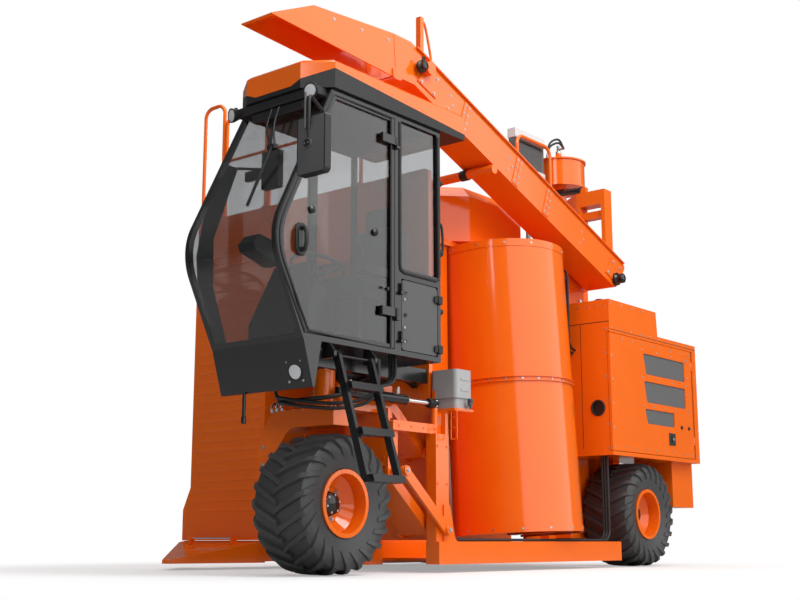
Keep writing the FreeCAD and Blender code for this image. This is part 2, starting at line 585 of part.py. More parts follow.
def hinge(fixed, moving, centre, foot, fixed_lug, moving_lug):
    """A pin on the fixed piece stands in a knuckle of the moving one; each lug is a plan outline."""
    top = f"({foot} + hinge_tall)"
    moving.rod("z", centre, "hinge_knuckle", foot, top)
    moving.pad("z", moving_lug, foot, top)
    moving.rod("z", centre, "hinge_pin + fit_gap", foot, top, hole=True)
    fixed.pad("z", fixed_lug, f"{foot} - 22", f"{foot} - 2")
    fixed.rod("z", centre, "hinge_pin", f"{foot} - 22", f"{top} - 6")


# ---------------------------------------------------------------- engine bay and tank

bay_inner = "(engine_side - engine_width)"
bay_open = "(engine_side - engine_sheet - run_gap)"
bay_rear = "(engine_front + engine_length)"
bay_top = "(engine_foot + engine_height)"
door_rear = f"({bay_rear} - engine_door_rear)"
door_low, door_high = "engine_door_foot", "(engine_door_foot + engine_door_height)"
hood_end = "(engine_front + hood_length)"
bay = Piece("engine_box")
bay.pad("x", [("engine_front", "engine_foot"), (bay_rear, "engine_foot"), (bay_rear, bay_top),
              (f"{hood_end} + 18", bay_top), (hood_end, f"{bay_top} + hood_rise"),
              ("engine_front", f"{bay_top} + hood_rise")], bay_inner, bay_open)
bay.pad("x", [("engine_front", f"{door_high} + run_gap"), (f"{door_rear} + 32", f"{door_high} + run_gap"),
              (f"{door_rear} + 32", "engine_foot"), (bay_rear, "engine_foot"), (bay_rear, bay_top),
              (f"{hood_end} + 18", bay_top), (hood_end, f"{bay_top} + hood_rise"),
              ("engine_front", f"{bay_top} + hood_rise")], f"{bay_open} - 5", "engine_side")
bay.pad("x", boxed("engine_front", f"{door_rear} + 40", "engine_foot", f"{door_low} - run_gap"),
        f"{bay_open} - 5", "engine_side")
bay.pad("x", boxed(f"{bay_rear} - low_box_length", f"{bay_rear} + 20", "engine_foot - low_box_height",
                   "engine_foot + 10"), f"{bay_inner} + 60", f"{bay_open} - 70")
bay.cut("x", boxed("engine_front + engine_sheet", f"{bay_rear} - engine_sheet - 20",
                   "engine_foot + engine_sheet", f"{bay_top} - engine_sheet", 30),
        f"{bay_inner} + engine_sheet", bay_open)
bay.rod("y", (f"{bay_open} - 105", "intake_height"), "intake_dia / 2", "engine_front",
        "engine_front + engine_sheet", hole=True)
bay_door = Piece("engine_side_door")
bay_door.pad("x", boxed("engine_front", door_rear, door_low, door_high), "engine_side - engine_sheet", "engine_side")
for low, high, rear in (("engine_door_foot + 730", "engine_door_foot + 920", "-140"),
                        ("engine_door_foot + 470", "engine_door_foot + 665", "-140"),
                        ("engine_door_foot + 275", "engine_door_foot + 410", "-385")):
    bay_door.cut("x", [(f"{door_rear} - 955", high, 15), (f"{door_rear} - 910", low, 15),
                       (f"{door_rear} {rear}", low, 15), (f"{door_rear} {rear}", high, 15)],
                 "engine_side - engine_sheet", "engine_side")
bay_axis = ("engine_side - engine_sheet / 2", f"{door_rear} + 15")
for foot in ("engine_door_foot + 150", "engine_door_foot + 880"):
    hinge(bay, bay_door, bay_axis, foot,
          boxed(f"{bay_open} - 5", "engine_side - engine_sheet / 2 + 9", f"{door_rear} + 5", f"{door_rear} + 40"),
          boxed("engine_side - engine_sheet + 2", "engine_side - 2", f"{door_rear} - 5", f"{door_rear} + 15"))

block = Piece("engine_block")
block_low = f"({bay_inner} + (engine_width - block_width) / 2 - 5)"
block_front = "(engine_front + 140)"
block.pad("z", boxed(block_low, f"{block_low} + block_width", block_front, f"{block_front} + block_length", 30),
          "block_foot", "block_foot + block_height")
block.pad("z", boxed(f"{block_low} + 60", f"{block_low} + block_width - 60", f"{block_front} + 80",
                     f"{block_front} + block_length - 80"), "engine_foot + engine_sheet", "block_foot")

tank = Piece("hydraulic_tank")
tank_top = "(engine_foot + tank_height)"
tank.pad("x", boxed("engine_front", bay_rear, "engine_foot", tank_top, 80), "-engine_side", f"-{bay_inner}")
tank.rod("z", (f"-{bay_inner} - 150", "engine_front + 250"), 55, tank_top, f"{tank_top} + 60")


# ---------------------------------------------------------------- roof equipment

def railing():
    """Tube hoops along the front wall's top edge, and a guard bent round the cooler."""
    middle = number("wall_front + wall_sheet / 2")
    foot, top = number("portal_top"), number("rail_top")
    radius = number("rail_tube")
    hoops = []
    for low, high, height, level in ((-1445, -1190, top, None), (-1150, -640, top - 130, 0.55),
                                     (-600, -90, top - 130, 0.55), (-50, 460, top - 130, 0.55)):
        hoop = tube([(low, middle, foot), (low, middle, height), (high, middle, height), (high, middle, foot)],
                    radius, 90)
        if level is not None:
            place_up = foot + (height - foot) * level
            bar = Part.makeCylinder(radius * 0.8, high - low, Vector(low, middle, place_up), Vector(1, 0, 0))
            hoop = hoop.fuse(bar)
        hoops.append(hoop)
    across, deck = number("cooler_across + cooler_thick / 2 + 45"), number("deck_height + deck_sheet")
    front, rear = number("cooler_along - 30"), number("cooler_along + cooler_length + 40")
    guard_top = number("cooler_foot + cooler_height - 35")
    hoops.append(tube([(across, front, deck), (across, front, guard_top), (across, rear, guard_top),
                       (across, rear, deck)], radius, 90))
    return keep_shape("railing", hoops)


railing()

cooler = Piece("oil_cooler")
cooler_low, cooler_high = "(cooler_across - cooler_thick / 2)", "(cooler_across + cooler_thick / 2)"
cooler.pad("x", boxed("cooler_along", "cooler_along + cooler_length", "cooler_foot", "cooler_foot + cooler_height", 20),
           cooler_low, cooler_high)
cooler.cut("x", boxed("cooler_along + 45", "cooler_along + cooler_length - 45", "cooler_foot + 40",
                      "cooler_foot + cooler_height - 60", 10), f"{cooler_high} - 20", cooler_high)
for along in ("cooler_along + 250", "cooler_along + cooler_length - 30"):
    cooler.rod("z", ("cooler_across", along), 22, "deck_height + deck_sheet", "cooler_foot + 5")

column = Piece("slew_column")
centre = ("slew_across", "slew_along")
deck_top = "(deck_height + deck_sheet)"
column.rod("z", centre, "column_radius", deck_top, "drum_foot")
column.rod("z", centre, "column_radius + 70", deck_top, f"{deck_top} + 20")
column.rod("z", centre, "column_radius + 35", "arm_low - 26", "arm_low - 1")
column.rod("z", centre, "drum_radius", "drum_foot", "drum_foot + 15")
column.rod("z", centre, "drum_radius - 15", "drum_foot + 15", "drum_foot + drum_tall - 15")
column.rod("z", centre, "drum_radius", "drum_foot + drum_tall - 15", "drum_foot + drum_tall")
column.rod("z", centre, 32, "drum_foot + drum_tall", "drum_foot + drum_tall + 110")

rest_across, rest_along, rest_height = number("rest_across"), number("rest_along"), number("rest_height")
rest = tube([(rest_across, rest_along, number(deck_top)), (rest_across, rest_along, rest_height),
             (number("belt_side + 25"), rest_along, rest_height)], number("rest_radius"), 80)
rest_flange = Part.makeCylinder(number("rest_radius") + 40, 16, Vector(rest_across - 10, rest_along, number(deck_top)))
keep_shape("conveyor_rest", [rest.fuse(rest_flange).removeSplitter()])


# ---------------------------------------------------------------- conveyor

belt_low = "(bend_along + belt_run * cos(belt_angle))"
belt_low_height = "(bend_height - belt_run * sin(belt_angle))"
belt_inner = "(belt_side - belt_width)"


def trough_top(along):
    """Height of the trough's top edge at a place along the machine."""
    return f"(bend_height + belt_deep / cos(belt_angle) - (({along}) - bend_along) * tan(belt_angle))"


trough = Piece("conveyor_trough")
top_bend = "(bend_along - 37)"
trough.pad("x", [("seam_along", "bend_height + 2"), ("bend_along", "bend_height", 60), (belt_low, belt_low_height, 60),
                 (f"{belt_low} + belt_tail", trough_top(f"{belt_low} + belt_tail"), 40), (top_bend, trough_top(top_bend), 60),
                 ("seam_along - 24", trough_top(top_bend))], belt_inner, "belt_side")
tail_end = f"({belt_low} + belt_tail)"
above = f"({trough_top(top_bend)} + 100)"
trough.cut("x", [("seam_along - 60", "bend_height + 2 + belt_sheet"),
                 ("bend_along + belt_sheet * tan(belt_angle / 2)", "bend_height + belt_sheet", 60),
                 (f"{belt_low} - 30 * cos(belt_angle) + belt_sheet * sin(belt_angle)",
                  f"{belt_low_height} + 30 * sin(belt_angle) + belt_sheet * cos(belt_angle)", 50),
                 (f"{tail_end} - 25", f"{trough_top(tail_end)} + 20"),
                 (f"{tail_end} - 25", above), ("seam_along - 60", above)],
           f"{belt_inner} + belt_sheet", "belt_side - belt_sheet")
for low, high in (("belt_side - 1", "belt_side + 22"), (f"{belt_inner} - 18", f"{belt_inner} + 1")):
    trough.pad("x", [(f"{top_bend} + 60", f"{trough_top(f'{top_bend} + 60')} - 10"),
                     (f"{tail_end} - 60", f"{trough_top(f'{tail_end} - 60')} - 10"),
                     (f"{tail_end} - 60", trough_top(f"{tail_end} - 60")),
                     (f"{top_bend} + 60", trough_top(f"{top_bend} + 60"))], low, high)
for low, high in (("belt_side + fit_gap", "belt_side + fit_gap + belt_sheet"),
                  (f"{belt_inner} - fit_gap - belt_sheet", f"{belt_inner} - fit_gap")):
    trough.pad("x", boxed("seam_along - 45", "seam_along + 60", "bend_height - 24", "bend_height + 60", 22), low, high)
for low, high in (("belt_side - 2", "belt_side + 6"), (f"{belt_inner} - 6", f"{belt_inner} + 2")):
    trough.pad("x", boxed("seam_along + 8", "seam_along + 55", "bend_height + 6", "bend_height + 55"), low, high)
spout_pin = ("seam_along - 22", "bend_height + 2")
for low, high in (("belt_side - belt_sheet", "belt_side + 8"), (f"{belt_inner} - 8", f"{belt_inner} + belt_sheet")):
    trough.rod("x", spout_pin, 10, low, high)
trough.rod("x", ("bend_along + 130", "bend_height + 155"), 55, "belt_side", "belt_side + 70")
trough.pad("z", boxed("belt_side - 45", "belt_side", "bend_along + 80", "bend_along + 120"),
           trough_top("bend_along + 120"), "hanger_top")

belt = Piece("conveyor_belt", (f"{belt_inner} + belt_sheet + run_gap - datum_across", "bend_along - datum_along",
                               "bend_height"), Vector(1, 0, 0), "-belt_angle")
belt_wide = "(belt_width - 2 * (belt_sheet + run_gap))"
belt.pad("x", boxed("60", "belt_run - 100", "belt_sheet + fit_gap", "belt_sheet + 60", 23), "0", belt_wide)
cleat = belt.pad("x", [("130", "belt_sheet + 55"), ("160", "belt_sheet + 55"), ("150", "belt_sheet + 120"),
                       ("140", "belt_sheet + 120")], "15", f"{belt_wide} - 15")
doc.recompute()
cleats = belt.body.newObject("PartDesign::LinearPattern", "cleats")
cleats.Originals = [cleat]
cleats.Direction = (next(f for f in belt.body.Origin.OriginFeatures if f.Role == "Y_Axis"), [""])
cleats.setExpression("Length", tie("belt_run - 400"))
cleats.Occurrences = 10
belt.body.Tip = cleats

spout = Piece("spout")
spout.pad("x", [("seam_along - 7", "bend_height + 2 - 12", 10), ("seam_along - 30", trough_top(top_bend)),
                ("-spout_nose", "bend_height + 254", 60), ("-spout_tip", "bend_height + 60"),
                ("-spout_tip", "bend_height + 52")], belt_inner, "belt_side")
spout.cut("x", [("seam_along + 10", "bend_height - 60"), ("seam_along + 10", f"{trough_top(top_bend)} - belt_sheet"),
                ("seam_along - 32", f"{trough_top(top_bend)} - belt_sheet"),
                ("-spout_nose + 2", "bend_height + 254 - belt_sheet", 50), ("-spout_tip + 20", "bend_height + 50"),
                ("-spout_tip + 20", "bend_height - 60")],
          f"{belt_inner} + belt_sheet", "belt_side - belt_sheet")
for low, high in ((belt_inner, f"{belt_inner} + belt_sheet"), ("belt_side - belt_sheet", "belt_side")):
    spout.rod("x", spout_pin, "10 + fit_gap", low, high, hole=True)

arm = Piece("swing_arm")
arm.rod("z", centre, "column_radius + 40", "arm_low", "arm_low + arm_tall")
arm.pad("z", [("slew_across + 20", "slew_along - 90"), (belt_inner, "arm_along"), ("belt_side", "arm_along"),
              ("belt_side", "arm_along + arm_deep"), (belt_inner, "arm_along + arm_deep"),
              ("slew_across + 60", "slew_along + 70")], "arm_low + 30", "arm_low + arm_tall - 30")
for low, high in ((belt_inner, f"{belt_inner} + 40"), ("belt_side - 40", "belt_side")):
    arm.pad("x", [("arm_along", trough_top("arm_along")), ("arm_along + arm_deep", trough_top("arm_along + arm_deep")),
                  ("arm_along + arm_deep", "arm_low + 40"), ("arm_along", "arm_low + 40")], low, high)
arm.pad("y", boxed(f"{belt_inner} + 10", "belt_side - 10", "arm_low - 95", "arm_low - 25"),
        "arm_along + 25", "arm_along + arm_deep - 25")
arm.rod("z", centre, "column_radius + 1", "arm_low", "arm_low + arm_tall", hole=True)


# ---------------------------------------------------------------- cab

def inset(corners, distance):
    """The outline moved inward by a distance; its corners run anticlockwise."""
    spots = [Vector(number(c[0]), number(c[1]), 0) for c in corners]
    moved = []
    for i, corner in enumerate(corners):
        before = (spots[i] - spots[i - 1]).normalize()
        after = (spots[(i + 1) % len(spots)] - spots[i]).normalize()
        inward = Vector(-before.y - after.y, before.x + after.x, 0) * (1 / (1 + before.dot(after)))
        moved.append((f"({corner[0]}) + ({inward.x:.6f}) * ({distance})",
                      f"({corner[1]}) + ({inward.y:.6f}) * ({distance})", *corner[2:]))
    return moved


def front_at(height):
    """Place along the machine of the cab's front face at a height above the kink."""
    return f"(-kink_front + (kink_front - head_front) * (({height}) - kink_height) / (cab_roof - kink_height))"


def low_front_at(height):
    """The same below the kink."""
    return f"(-sill_front - (kink_front - sill_front) * (({height}) - cab_sill) / (kink_height - cab_sill))"


cab_inner = "(cab_left - cab_width)"
CAB_SIDE = [("-sill_front", "cab_sill"), ("cab_rear", "cab_sill"), ("cab_rear", "cab_roof"),
            ("-head_front", "cab_roof"), ("-kink_front", "kink_height", "kink_radius")]
DOOR_SIDE = [("-sill_front", "cab_sill"), ("pillar_along", "cab_sill"), ("pillar_along", "cab_roof"),
             ("-head_front", "cab_roof"), ("-kink_front", "kink_height", "kink_radius")]
QUARTER = [("pillar_along", "hatch_top"), ("cab_rear", "hatch_top"), ("cab_rear", "cab_roof"),
           ("pillar_along", "cab_roof")]
HATCH = [("pillar_along", "cab_sill"), ("cab_rear", "cab_sill"), ("cab_rear", "hatch_top"),
         ("pillar_along", "hatch_top")]
REAR_WINDOW = [(cab_inner, "hatch_top"), ("cab_left", "hatch_top"), ("cab_left", "cab_roof"), (cab_inner, "cab_roof")]

cab = Piece("cab_frame")
cab.pad("x", CAB_SIDE, cab_inner, "cab_left")
cab.cut("x", inset(CAB_SIDE, "cab_tube"), f"{cab_inner} + cab_tube", "cab_left - cab_tube")
for low, high in (("cab_left - cab_tube", "cab_left"), (cab_inner, f"{cab_inner} + cab_tube")):
    cab.cut("x", inset(DOOR_SIDE, "cab_tube"), low, high)
    cab.cut("x", inset(QUARTER, "cab_tube"), low, high)
cab.cut("x", inset(HATCH, "cab_tube"), "cab_left - cab_tube", "cab_left")
cab.cut("y", boxed(f"{cab_inner} + cab_tube", "cab_left - cab_tube", "cab_sill + cab_tube", "cab_roof - cab_tube"),
        "-kink_front - 20", "-head_front + cab_tube + 30")
cab.cut("y", inset(REAR_WINDOW, "cab_tube"), "cab_rear - cab_tube", "cab_rear")
cab.pad("x", [("-sill_front", "cab_sill + 5"), ("-box_foot_front", "box_foot"), ("-box_foot_front + 16", "box_foot"),
              ("-box_back", "cab_sill + 5")], cab_inner, "cab_left")
for low, high in ((f"{cab_inner} + 75", f"{cab_inner} + 155"), ("cab_left - 400", "cab_left - 320")):
    cab.pad("x", boxed("-box_back - 5", "wall_front", "cab_sill - 100", "cab_sill + 5"), low, high)

roof_left, roof_right = "(cab_left + 25)", f"({cab_inner} - 25)"
border_front, border_rear = "(cab_roof + border_front)", "(cab_roof + border_rear)"
border_low = "(cab_roof + border_low)"
ROOF_PLAN = [(roof_right, "-roof_corner"), (f"{roof_right} + 190", "-roof_front"), (f"{roof_left} - 190", "-roof_front"),
             (roof_left, "-roof_corner"), (roof_left, "roof_rear"), (roof_right, "roof_rear")]
roof_rim = Piece("roof_rim")
roof_rim.pad("z", ROOF_PLAN, "cab_roof", border_front)
roof_rim.cut("x", [("-roof_corner", f"{border_front} - fit_gap"), ("roof_rear + 10", f"{border_rear} - fit_gap"),
                   ("roof_rear + 10", f"{border_front} + 10"), ("-roof_corner", f"{border_front} + 10")],
             roof_right, roof_left)
roof_rim.cut("y", [(f"{roof_right} + 280", f"{border_low} - fit_gap"), (f"{roof_left} - 280", f"{border_low} - fit_gap"),
                   (f"{roof_left} + 1", f"{border_front} - fit_gap"), (f"{roof_left} + 1", f"{border_front} + 10"),
                   (f"{roof_right} - 1", f"{border_front} + 10"), (f"{roof_right} - 1", f"{border_front} - fit_gap")],
             "-roof_front - 10", "-roof_corner")
cab_roof = Piece("cab_roof")
cab_roof.pad("z", ROOF_PLAN, border_low, "cab_roof + roof_high - roof_edge")
edge = cab_roof.pad("z", ROOF_PLAN, "cab_roof + roof_high - roof_edge", "cab_roof + roof_high")
edge.TaperAngle = -50
cab_roof.cut("x", [("-roof_corner", border_low), ("roof_rear + 10", border_low), ("roof_rear + 10", border_rear),
                   ("-roof_corner", border_front)], roof_right, roof_left)
cab_roof.cut("y", [(f"{roof_right} - 1", f"{border_low} - 1"), (f"{roof_right} + 279", f"{border_low} - 1"),
                   (f"{roof_right} + 280", border_low), (f"{roof_right} - 1", border_front)],
             "-roof_front - 10", "-roof_corner")
cab_roof.cut("y", [(f"{roof_left} + 1", f"{border_low} - 1"), (f"{roof_left} + 1", border_front),
                   (f"{roof_left} - 280", border_low), (f"{roof_left} - 279", f"{border_low} - 1")],
             "-roof_front - 10", "-roof_corner")

windshield = Piece("windshield")
pane_foot, pane_head = "(cab_sill + cab_tube + fit_gap)", "(cab_roof - cab_tube - fit_gap)"
windshield.pad("x", [
    (low_front_at(pane_foot), pane_foot), (f"{low_front_at(pane_foot)} + glass", pane_foot),
    ("-kink_front + glass", "kink_height", "kink_radius - glass"), (f"{front_at(pane_head)} + glass", pane_head),
    (front_at(pane_head), pane_head), ("-kink_front", "kink_height", "kink_radius")],
    f"{cab_inner} + cab_tube + fit_gap", "cab_left - cab_tube - fit_gap")

glass = Piece("cab_glass")
pane_gap = "cab_tube + fit_gap"
for low, corners in (("cab_left - 24", QUARTER), (f"{cab_inner} + 18", QUARTER), (f"{cab_inner} + 18", DOOR_SIDE)):
    glass.pad("x", inset(corners, pane_gap), low, f"{low} + glass")
glass.pad("y", inset(REAR_WINDOW, pane_gap), "cab_rear - 24", "cab_rear - 24 + glass")

cab_door = Piece("cab_door")
door_low = "cab_left - door_thick"
cab_door.pad("x", inset(DOOR_SIDE, "cab_tube + door_gap"), door_low, "cab_left")
cab_door.cut("x", inset(DOOR_SIDE, "cab_tube + door_gap + door_frame"), door_low, "cab_left")
pane = Piece("door_glass")
pane.pad("x", inset(DOOR_SIDE, "cab_tube + door_gap + door_frame + fit_gap"), "cab_left - 20", "cab_left - 20 + glass")
door_axis = ("cab_left + 16", "pillar_along - cab_tube + 2")
for foot in ("cab_sill + 260", "cab_roof - 240"):
    hinge(cab, cab_door, door_axis, foot,
          boxed("cab_left - 5", "cab_left + 26", "pillar_along - cab_tube - 6", "pillar_along - cab_tube + 30"),
          boxed("cab_left - 10", "cab_left + 18", "pillar_along - cab_tube - hinge_reach",
                "pillar_along - cab_tube - 10"))

hatch = Piece("cab_hatch")
hatch.pad("x", inset([(*corner, 30) for corner in HATCH], "cab_tube + door_gap"), "cab_left - 28", "cab_left")
hatch_axis = ("cab_left + 16", "pillar_along + cab_tube - 2")
for foot in ("cab_sill + 110", "hatch_top - 130"):
    hinge(cab, hatch, hatch_axis, foot,
          boxed("cab_left - 5", "cab_left + 26", "pillar_along + cab_tube - 30", "pillar_along + cab_tube + 6"),
          boxed("cab_left - 10", "cab_left + 18", "pillar_along + cab_tube + 10", "pillar_along + cab_tube + 60"))

floor_top = "(cab_sill + cab_tube)"
seat_middle = "(cab_left - cab_width / 2)"
pedestal = Piece("seat_pedestal")
pedestal.pad("z", boxed(f"{seat_middle} - 130", f"{seat_middle} + 130", "300", "620", 30), floor_top, "seat_height - 110")
seat = Piece("driver_seat")
seat.pad("x", [("210", "seat_height - 110", 30), ("680", "seat_height - 110", 30), ("790", "seat_height + 620", 40),
               ("690", "seat_height + 640", 40), ("590", "seat_height + 20", 40), ("210", "seat_height", 40)],
         f"{seat_middle} - 240", f"{seat_middle} + 240")

console = Piece("steering_console")
console_front = "-250"
console_back = "(console_deep - 250)"
console_shift = "console_height * tan(console_lean)"
console_tilt = "console_deep * tan(console_lean) / 2"
console.pad("x", [(console_front, floor_top), (console_back, floor_top),
                  (f"{console_back} + {console_shift}", f"{floor_top} + console_height - {console_tilt}", 8),
                  (f"{console_front} + {console_shift}", f"{floor_top} + console_height + {console_tilt}", 8)],
            f"{seat_middle} - 75", f"{seat_middle} + 75")
steering_wheel = Piece("steering_wheel", (f"{seat_middle} - datum_across",
                                          f"-250 + console_deep / 2 + {console_shift} - datum_along",
                                          f"{floor_top} + console_height"), Vector(1, 0, 0), "-console_lean")
steering_wheel.rod("z", ("0", "0"), 22, "fit_gap", "150")
steering_wheel.turn("z", ("0", "0", "0"), [("136", "steer_wheel - 6"), ("142", "steer_wheel - 12"),
                                           ("156", "steer_wheel - 12"), ("162", "steer_wheel - 6"),
                                           ("162", "steer_wheel + 6"), ("156", "steer_wheel + 12"),
                                           ("142", "steer_wheel + 12"), ("136", "steer_wheel + 6")])
steering_wheel.pad("z", boxed("-steer_wheel", "steer_wheel", "-14", "14"), "140", "150")


def mirror():
    """Mirror housing that hangs on a bent arm from the cab's left front pillar."""
    corner, out = number("cab_left"), number("cab_left + 265")
    level, front = number("mirror_arm_height"), -number("mirror_front")
    pillar = number(front_at("mirror_arm_height")) + 20
    arm = tube([(corner, pillar, level), (corner + 60, pillar, level), (out, front, level),
                (out, front, number("mirror_foot") + 190)], 12, 50)
    head = Part.makeBox(240, 55, number("mirror_height"), Vector(out - 120, front + 22, number("mirror_foot")))
    head = head.makeFillet(30, [edge for edge in head.Edges if abs(edge.tangentAt(edge.FirstParameter).y) > 0.9])
    joint = Part.makeCylinder(26, 60, Vector(out, front - 20, number("mirror_foot") + 190), Vector(0, 1, 0))
    keep_shape("left_mirror", [arm.fuse([head, joint]).removeSplitter()])


mirror()


# ---------------------------------------------------------------- ladder and canister

ladder = Piece("ladder", ("ladder_across - datum_across", "ladder_front - datum_along", "ladder_height"),
               Vector(0, 1, 0), "-ladder_lean")
for low, high in (("0", "28"), ("ladder_width - 28", "ladder_width")):
    ladder.pad("y", boxed("-26", "26", "-ladder_length", "20", 20), low, high)
for tread in range(3):
    step = f"(-ladder_first - {tread} * tread_pitch)"
    ladder.pad("y", [("-30", f"{step} - 45"), ("60", f"{step} - 70"), ("60", f"{step} - 20"), ("-30", f"{step} + 5")],
               "20", "ladder_width - 20")
ladder.rod("y", ("0", "0"), 10, "-30", "ladder_width + 30")
for low, high in (("ladder_front - 40", "ladder_front - 15"),
                  ("ladder_front + ladder_width + 15", "ladder_front + ladder_width + 40")):
    cab.pad("y", [("cab_left - 60", "ladder_height - 20"), ("ladder_across + 22", "ladder_height - 20", 18),
                  ("ladder_across + 22", "ladder_height + 22", 18), ("cab_left - 5", "cab_sill + 5"),
                  ("cab_left - 60", "cab_sill + 5")], low, high)
    cab.rod("y", ("ladder_across", "ladder_height"), "10 + fit_gap", low, high, hole=True)

can = Piece("canister")
can.pad("z", boxed("can_inner", "can_outer", "can_front", "can_rear", 35), "can_waist", "can_top")
can.pad("z", boxed("can_inner + 12", "can_outer - 12", "can_front + 12", "can_rear - 12", 30), "can_foot", "can_waist")
can.rod("x", ("can_rear - 70", "can_foot + 42"), 30, "can_outer - 20", "can_outer + 14")


# ---------------------------------------------------------------- front leg

def bar_outline(first, last, radius):
    """Outline of a bar with round ends; the two ends are its pins' places."""
    start = Vector(number(first[0]), number(first[1]), 0)
    end = Vector(number(last[0]), number(last[1]), 0)
    along = (end - start).normalize()
    corners = []
    for pin, sign in ((first, -1), (last, 1)):
        for side in (-sign, sign):
            shift = along * sign + Vector(-along.y, along.x, 0) * side
            corners.append((f"{pin[0]} + ({shift.x:.6f}) * ({radius})", f"{pin[1]} + ({shift.y:.6f}) * ({radius})",
                            f"0.97 * ({radius})"))
    return corners


arms = Piece("suspension_arms")
for pivot, inside, outside in (("arm_pivot_low", "low_arm_inner", "low_arm_outer"),
                               ("arm_pivot_high", "high_arm_inner", "high_arm_outer")):
    rear = ("arm_pivot_along", pivot)
    front = ("arm_pivot_along - arm_run", f"({pivot} + arm_rise)")
    arms.pad("x", bar_outline(front, rear, "eye_radius"), inside, outside)
    for pin in (rear, front):
        arms.rod("x", pin, "pin_radius", f"{inside} - fit_gap - lug_sheet", f"{outside} + fit_gap + lug_sheet")
    if pivot == "arm_pivot_low":
        arms.pad("x", bar_outline(front, rear, "eye_radius"), "outer_arm", "outer_arm + outer_arm_sheet")
        for pin in (rear, front):
            arms.rod("x", pin, "pin_radius", f"{outside} + fit_gap + lug_sheet", "outer_arm + outer_arm_sheet + 8")

carrier = Piece("wheel_carrier")
carrier.pad("z", boxed("low_arm_inner - fit_gap - lug_sheet", "low_arm_outer + fit_gap + lug_sheet",
                       "carrier_front", "carrier_front + 22"), "arm_pivot_low + arm_rise + 60", "steer_top + 45")
for pivot, inside, outside, foot, head in (
        ("arm_pivot_low", "low_arm_inner", "low_arm_outer", "-eye_radius - 20", "+ 310"),
        ("arm_pivot_high", "high_arm_inner", "high_arm_outer", "-180", "+ eye_radius + 12")):
    pin = ("arm_pivot_along - arm_run", f"({pivot} + arm_rise)")
    for low, high in ((f"{inside} - fit_gap - lug_sheet", f"{inside} - fit_gap"),
                      (f"{outside} + fit_gap", f"{outside} + fit_gap + lug_sheet")):
        carrier.pad("x", boxed("carrier_front", "carrier_rear", f"{pin[1]} {foot}", f"{pin[1]} {head}"), low, high)
        carrier.rod("x", pin, "pin_radius + fit_gap", low, high, hole=True)
carrier.pad("z", boxed("high_arm_inner", "high_arm_outer", "0", "carrier_front + 10"),
            "steer_top + 15", "steer_top + 120")
carrier.rod("z", ("wheel_track / 2", "0"), "housing_radius", "steer_top + 5", "housing_top")
carrier.rod("z", ("wheel_track / 2", "0"), "spindle_radius + fit_gap", "steer_top + 5", "housing_top", hole=True)
carrier.pad("x", boxed("carrier_front", "post_along + 55", "post_top", "post_top + 70", 12),
            "low_arm_outer - 5", "low_arm_outer + 75")
carrier.rod("z", ("wheel_track / 2 + lever_reach", "eye_along"), 26, "post_top + 60", "cylinder_height - rod_radius - 12")

fork = Piece("steering_fork")
fork.pad("y", [("fork_inner", "fork_foot", 60), ("fork_inner + 170", "fork_foot", 60),
               ("fork_inner + 170", "steer_top - fork_sheet - 150", 40),
               ("fork_inner + 290", "steer_top - fork_sheet", 120), ("wheel_track / 2 + 175", "steer_top - fork_sheet"),
               ("wheel_track / 2 + 175", "steer_top", 20), ("fork_inner + 110", "steer_top", 170),
               ("fork_inner", "steer_top - 190", 80)],
         "-fork_half", "fork_half")
fork.rod("x", ("0", "tyre_dia / 2"), "hub_hole / 2 - fit_gap", "fork_inner + 160", "wheel_track / 2 + 65")
fork.rod("z", ("wheel_track / 2", "0"), "spindle_radius", "steer_top - 5", "housing_top + 12")
fork.rod("z", ("wheel_track / 2 + lever_reach", "0"), 20, "steer_top - 5", "cylinder_height + cylinder_radius + 8")

barrel = Piece("steering_cylinder_barrel")
steer_eye = "(wheel_track / 2 + lever_reach)"
barrel.rod("y", (steer_eye, "cylinder_height"), "cylinder_radius", "45", "barrel_rear")
barrel.pad("z", boxed(f"{steer_eye} - 18", f"{steer_eye} + 18", "0", "60"), "cylinder_height - 22", "cylinder_height + 22")
barrel.rod("z", (steer_eye, "0"), 34, "cylinder_height - 22", "cylinder_height + 22")
barrel.rod("z", (steer_eye, "0"), "20 + fit_gap", "cylinder_height - 22", "cylinder_height + 22", hole=True)
barrel.rod("y", (steer_eye, "cylinder_height"), "rod_radius + fit_gap", "120", "barrel_rear", hole=True)

piston = Piece("steering_cylinder_rod")
piston.rod("y", (steer_eye, "cylinder_height"), "rod_radius", "300", "eye_along - 15")
piston.rod("z", (steer_eye, "eye_along"), 32, "cylinder_height - 22", "cylinder_height + 22")


# ---------------------------------------------------------------- hoses

def hoses(name, route):
    """Three hoses side by side; route(gap) gives the points of the one that lies gap from the first."""
    lines = [route(count * number("hose_pitch")) for count in range(3)]
    keep_shape(name, [tube(points, number("hose_radius"), number("hose_bend")) for points in lines])


def steering_route(gap):
    """From the cab floor down, outwards in front of the kingpin, and back up beside the steering cylinder."""
    inner, outer, front = number(cab_inner) + 195 + gap, number("cab_left") - 145 + gap, -160 - gap
    rear, floor, low = number("barrel_rear") - 250, number("cab_sill"), number("steer_top") + 50
    return [(inner, front, floor), (inner, front, low), (outer, front, low), (outer, rear, low + 150),
            (outer, rear, floor)]


def foot_route(gap):
    """From the post along the foot rail to the engine bay's floor."""
    across, rear = number("post_across - post_width / 2") + 13 + gap, number("engine_front") + 90
    rest = number("wall_foot") + 2
    post_rear = number("post_along + post_depth / 2")
    return [(across, post_rear, rest), (across, rear, rest), (across, rear, number("engine_foot"))]


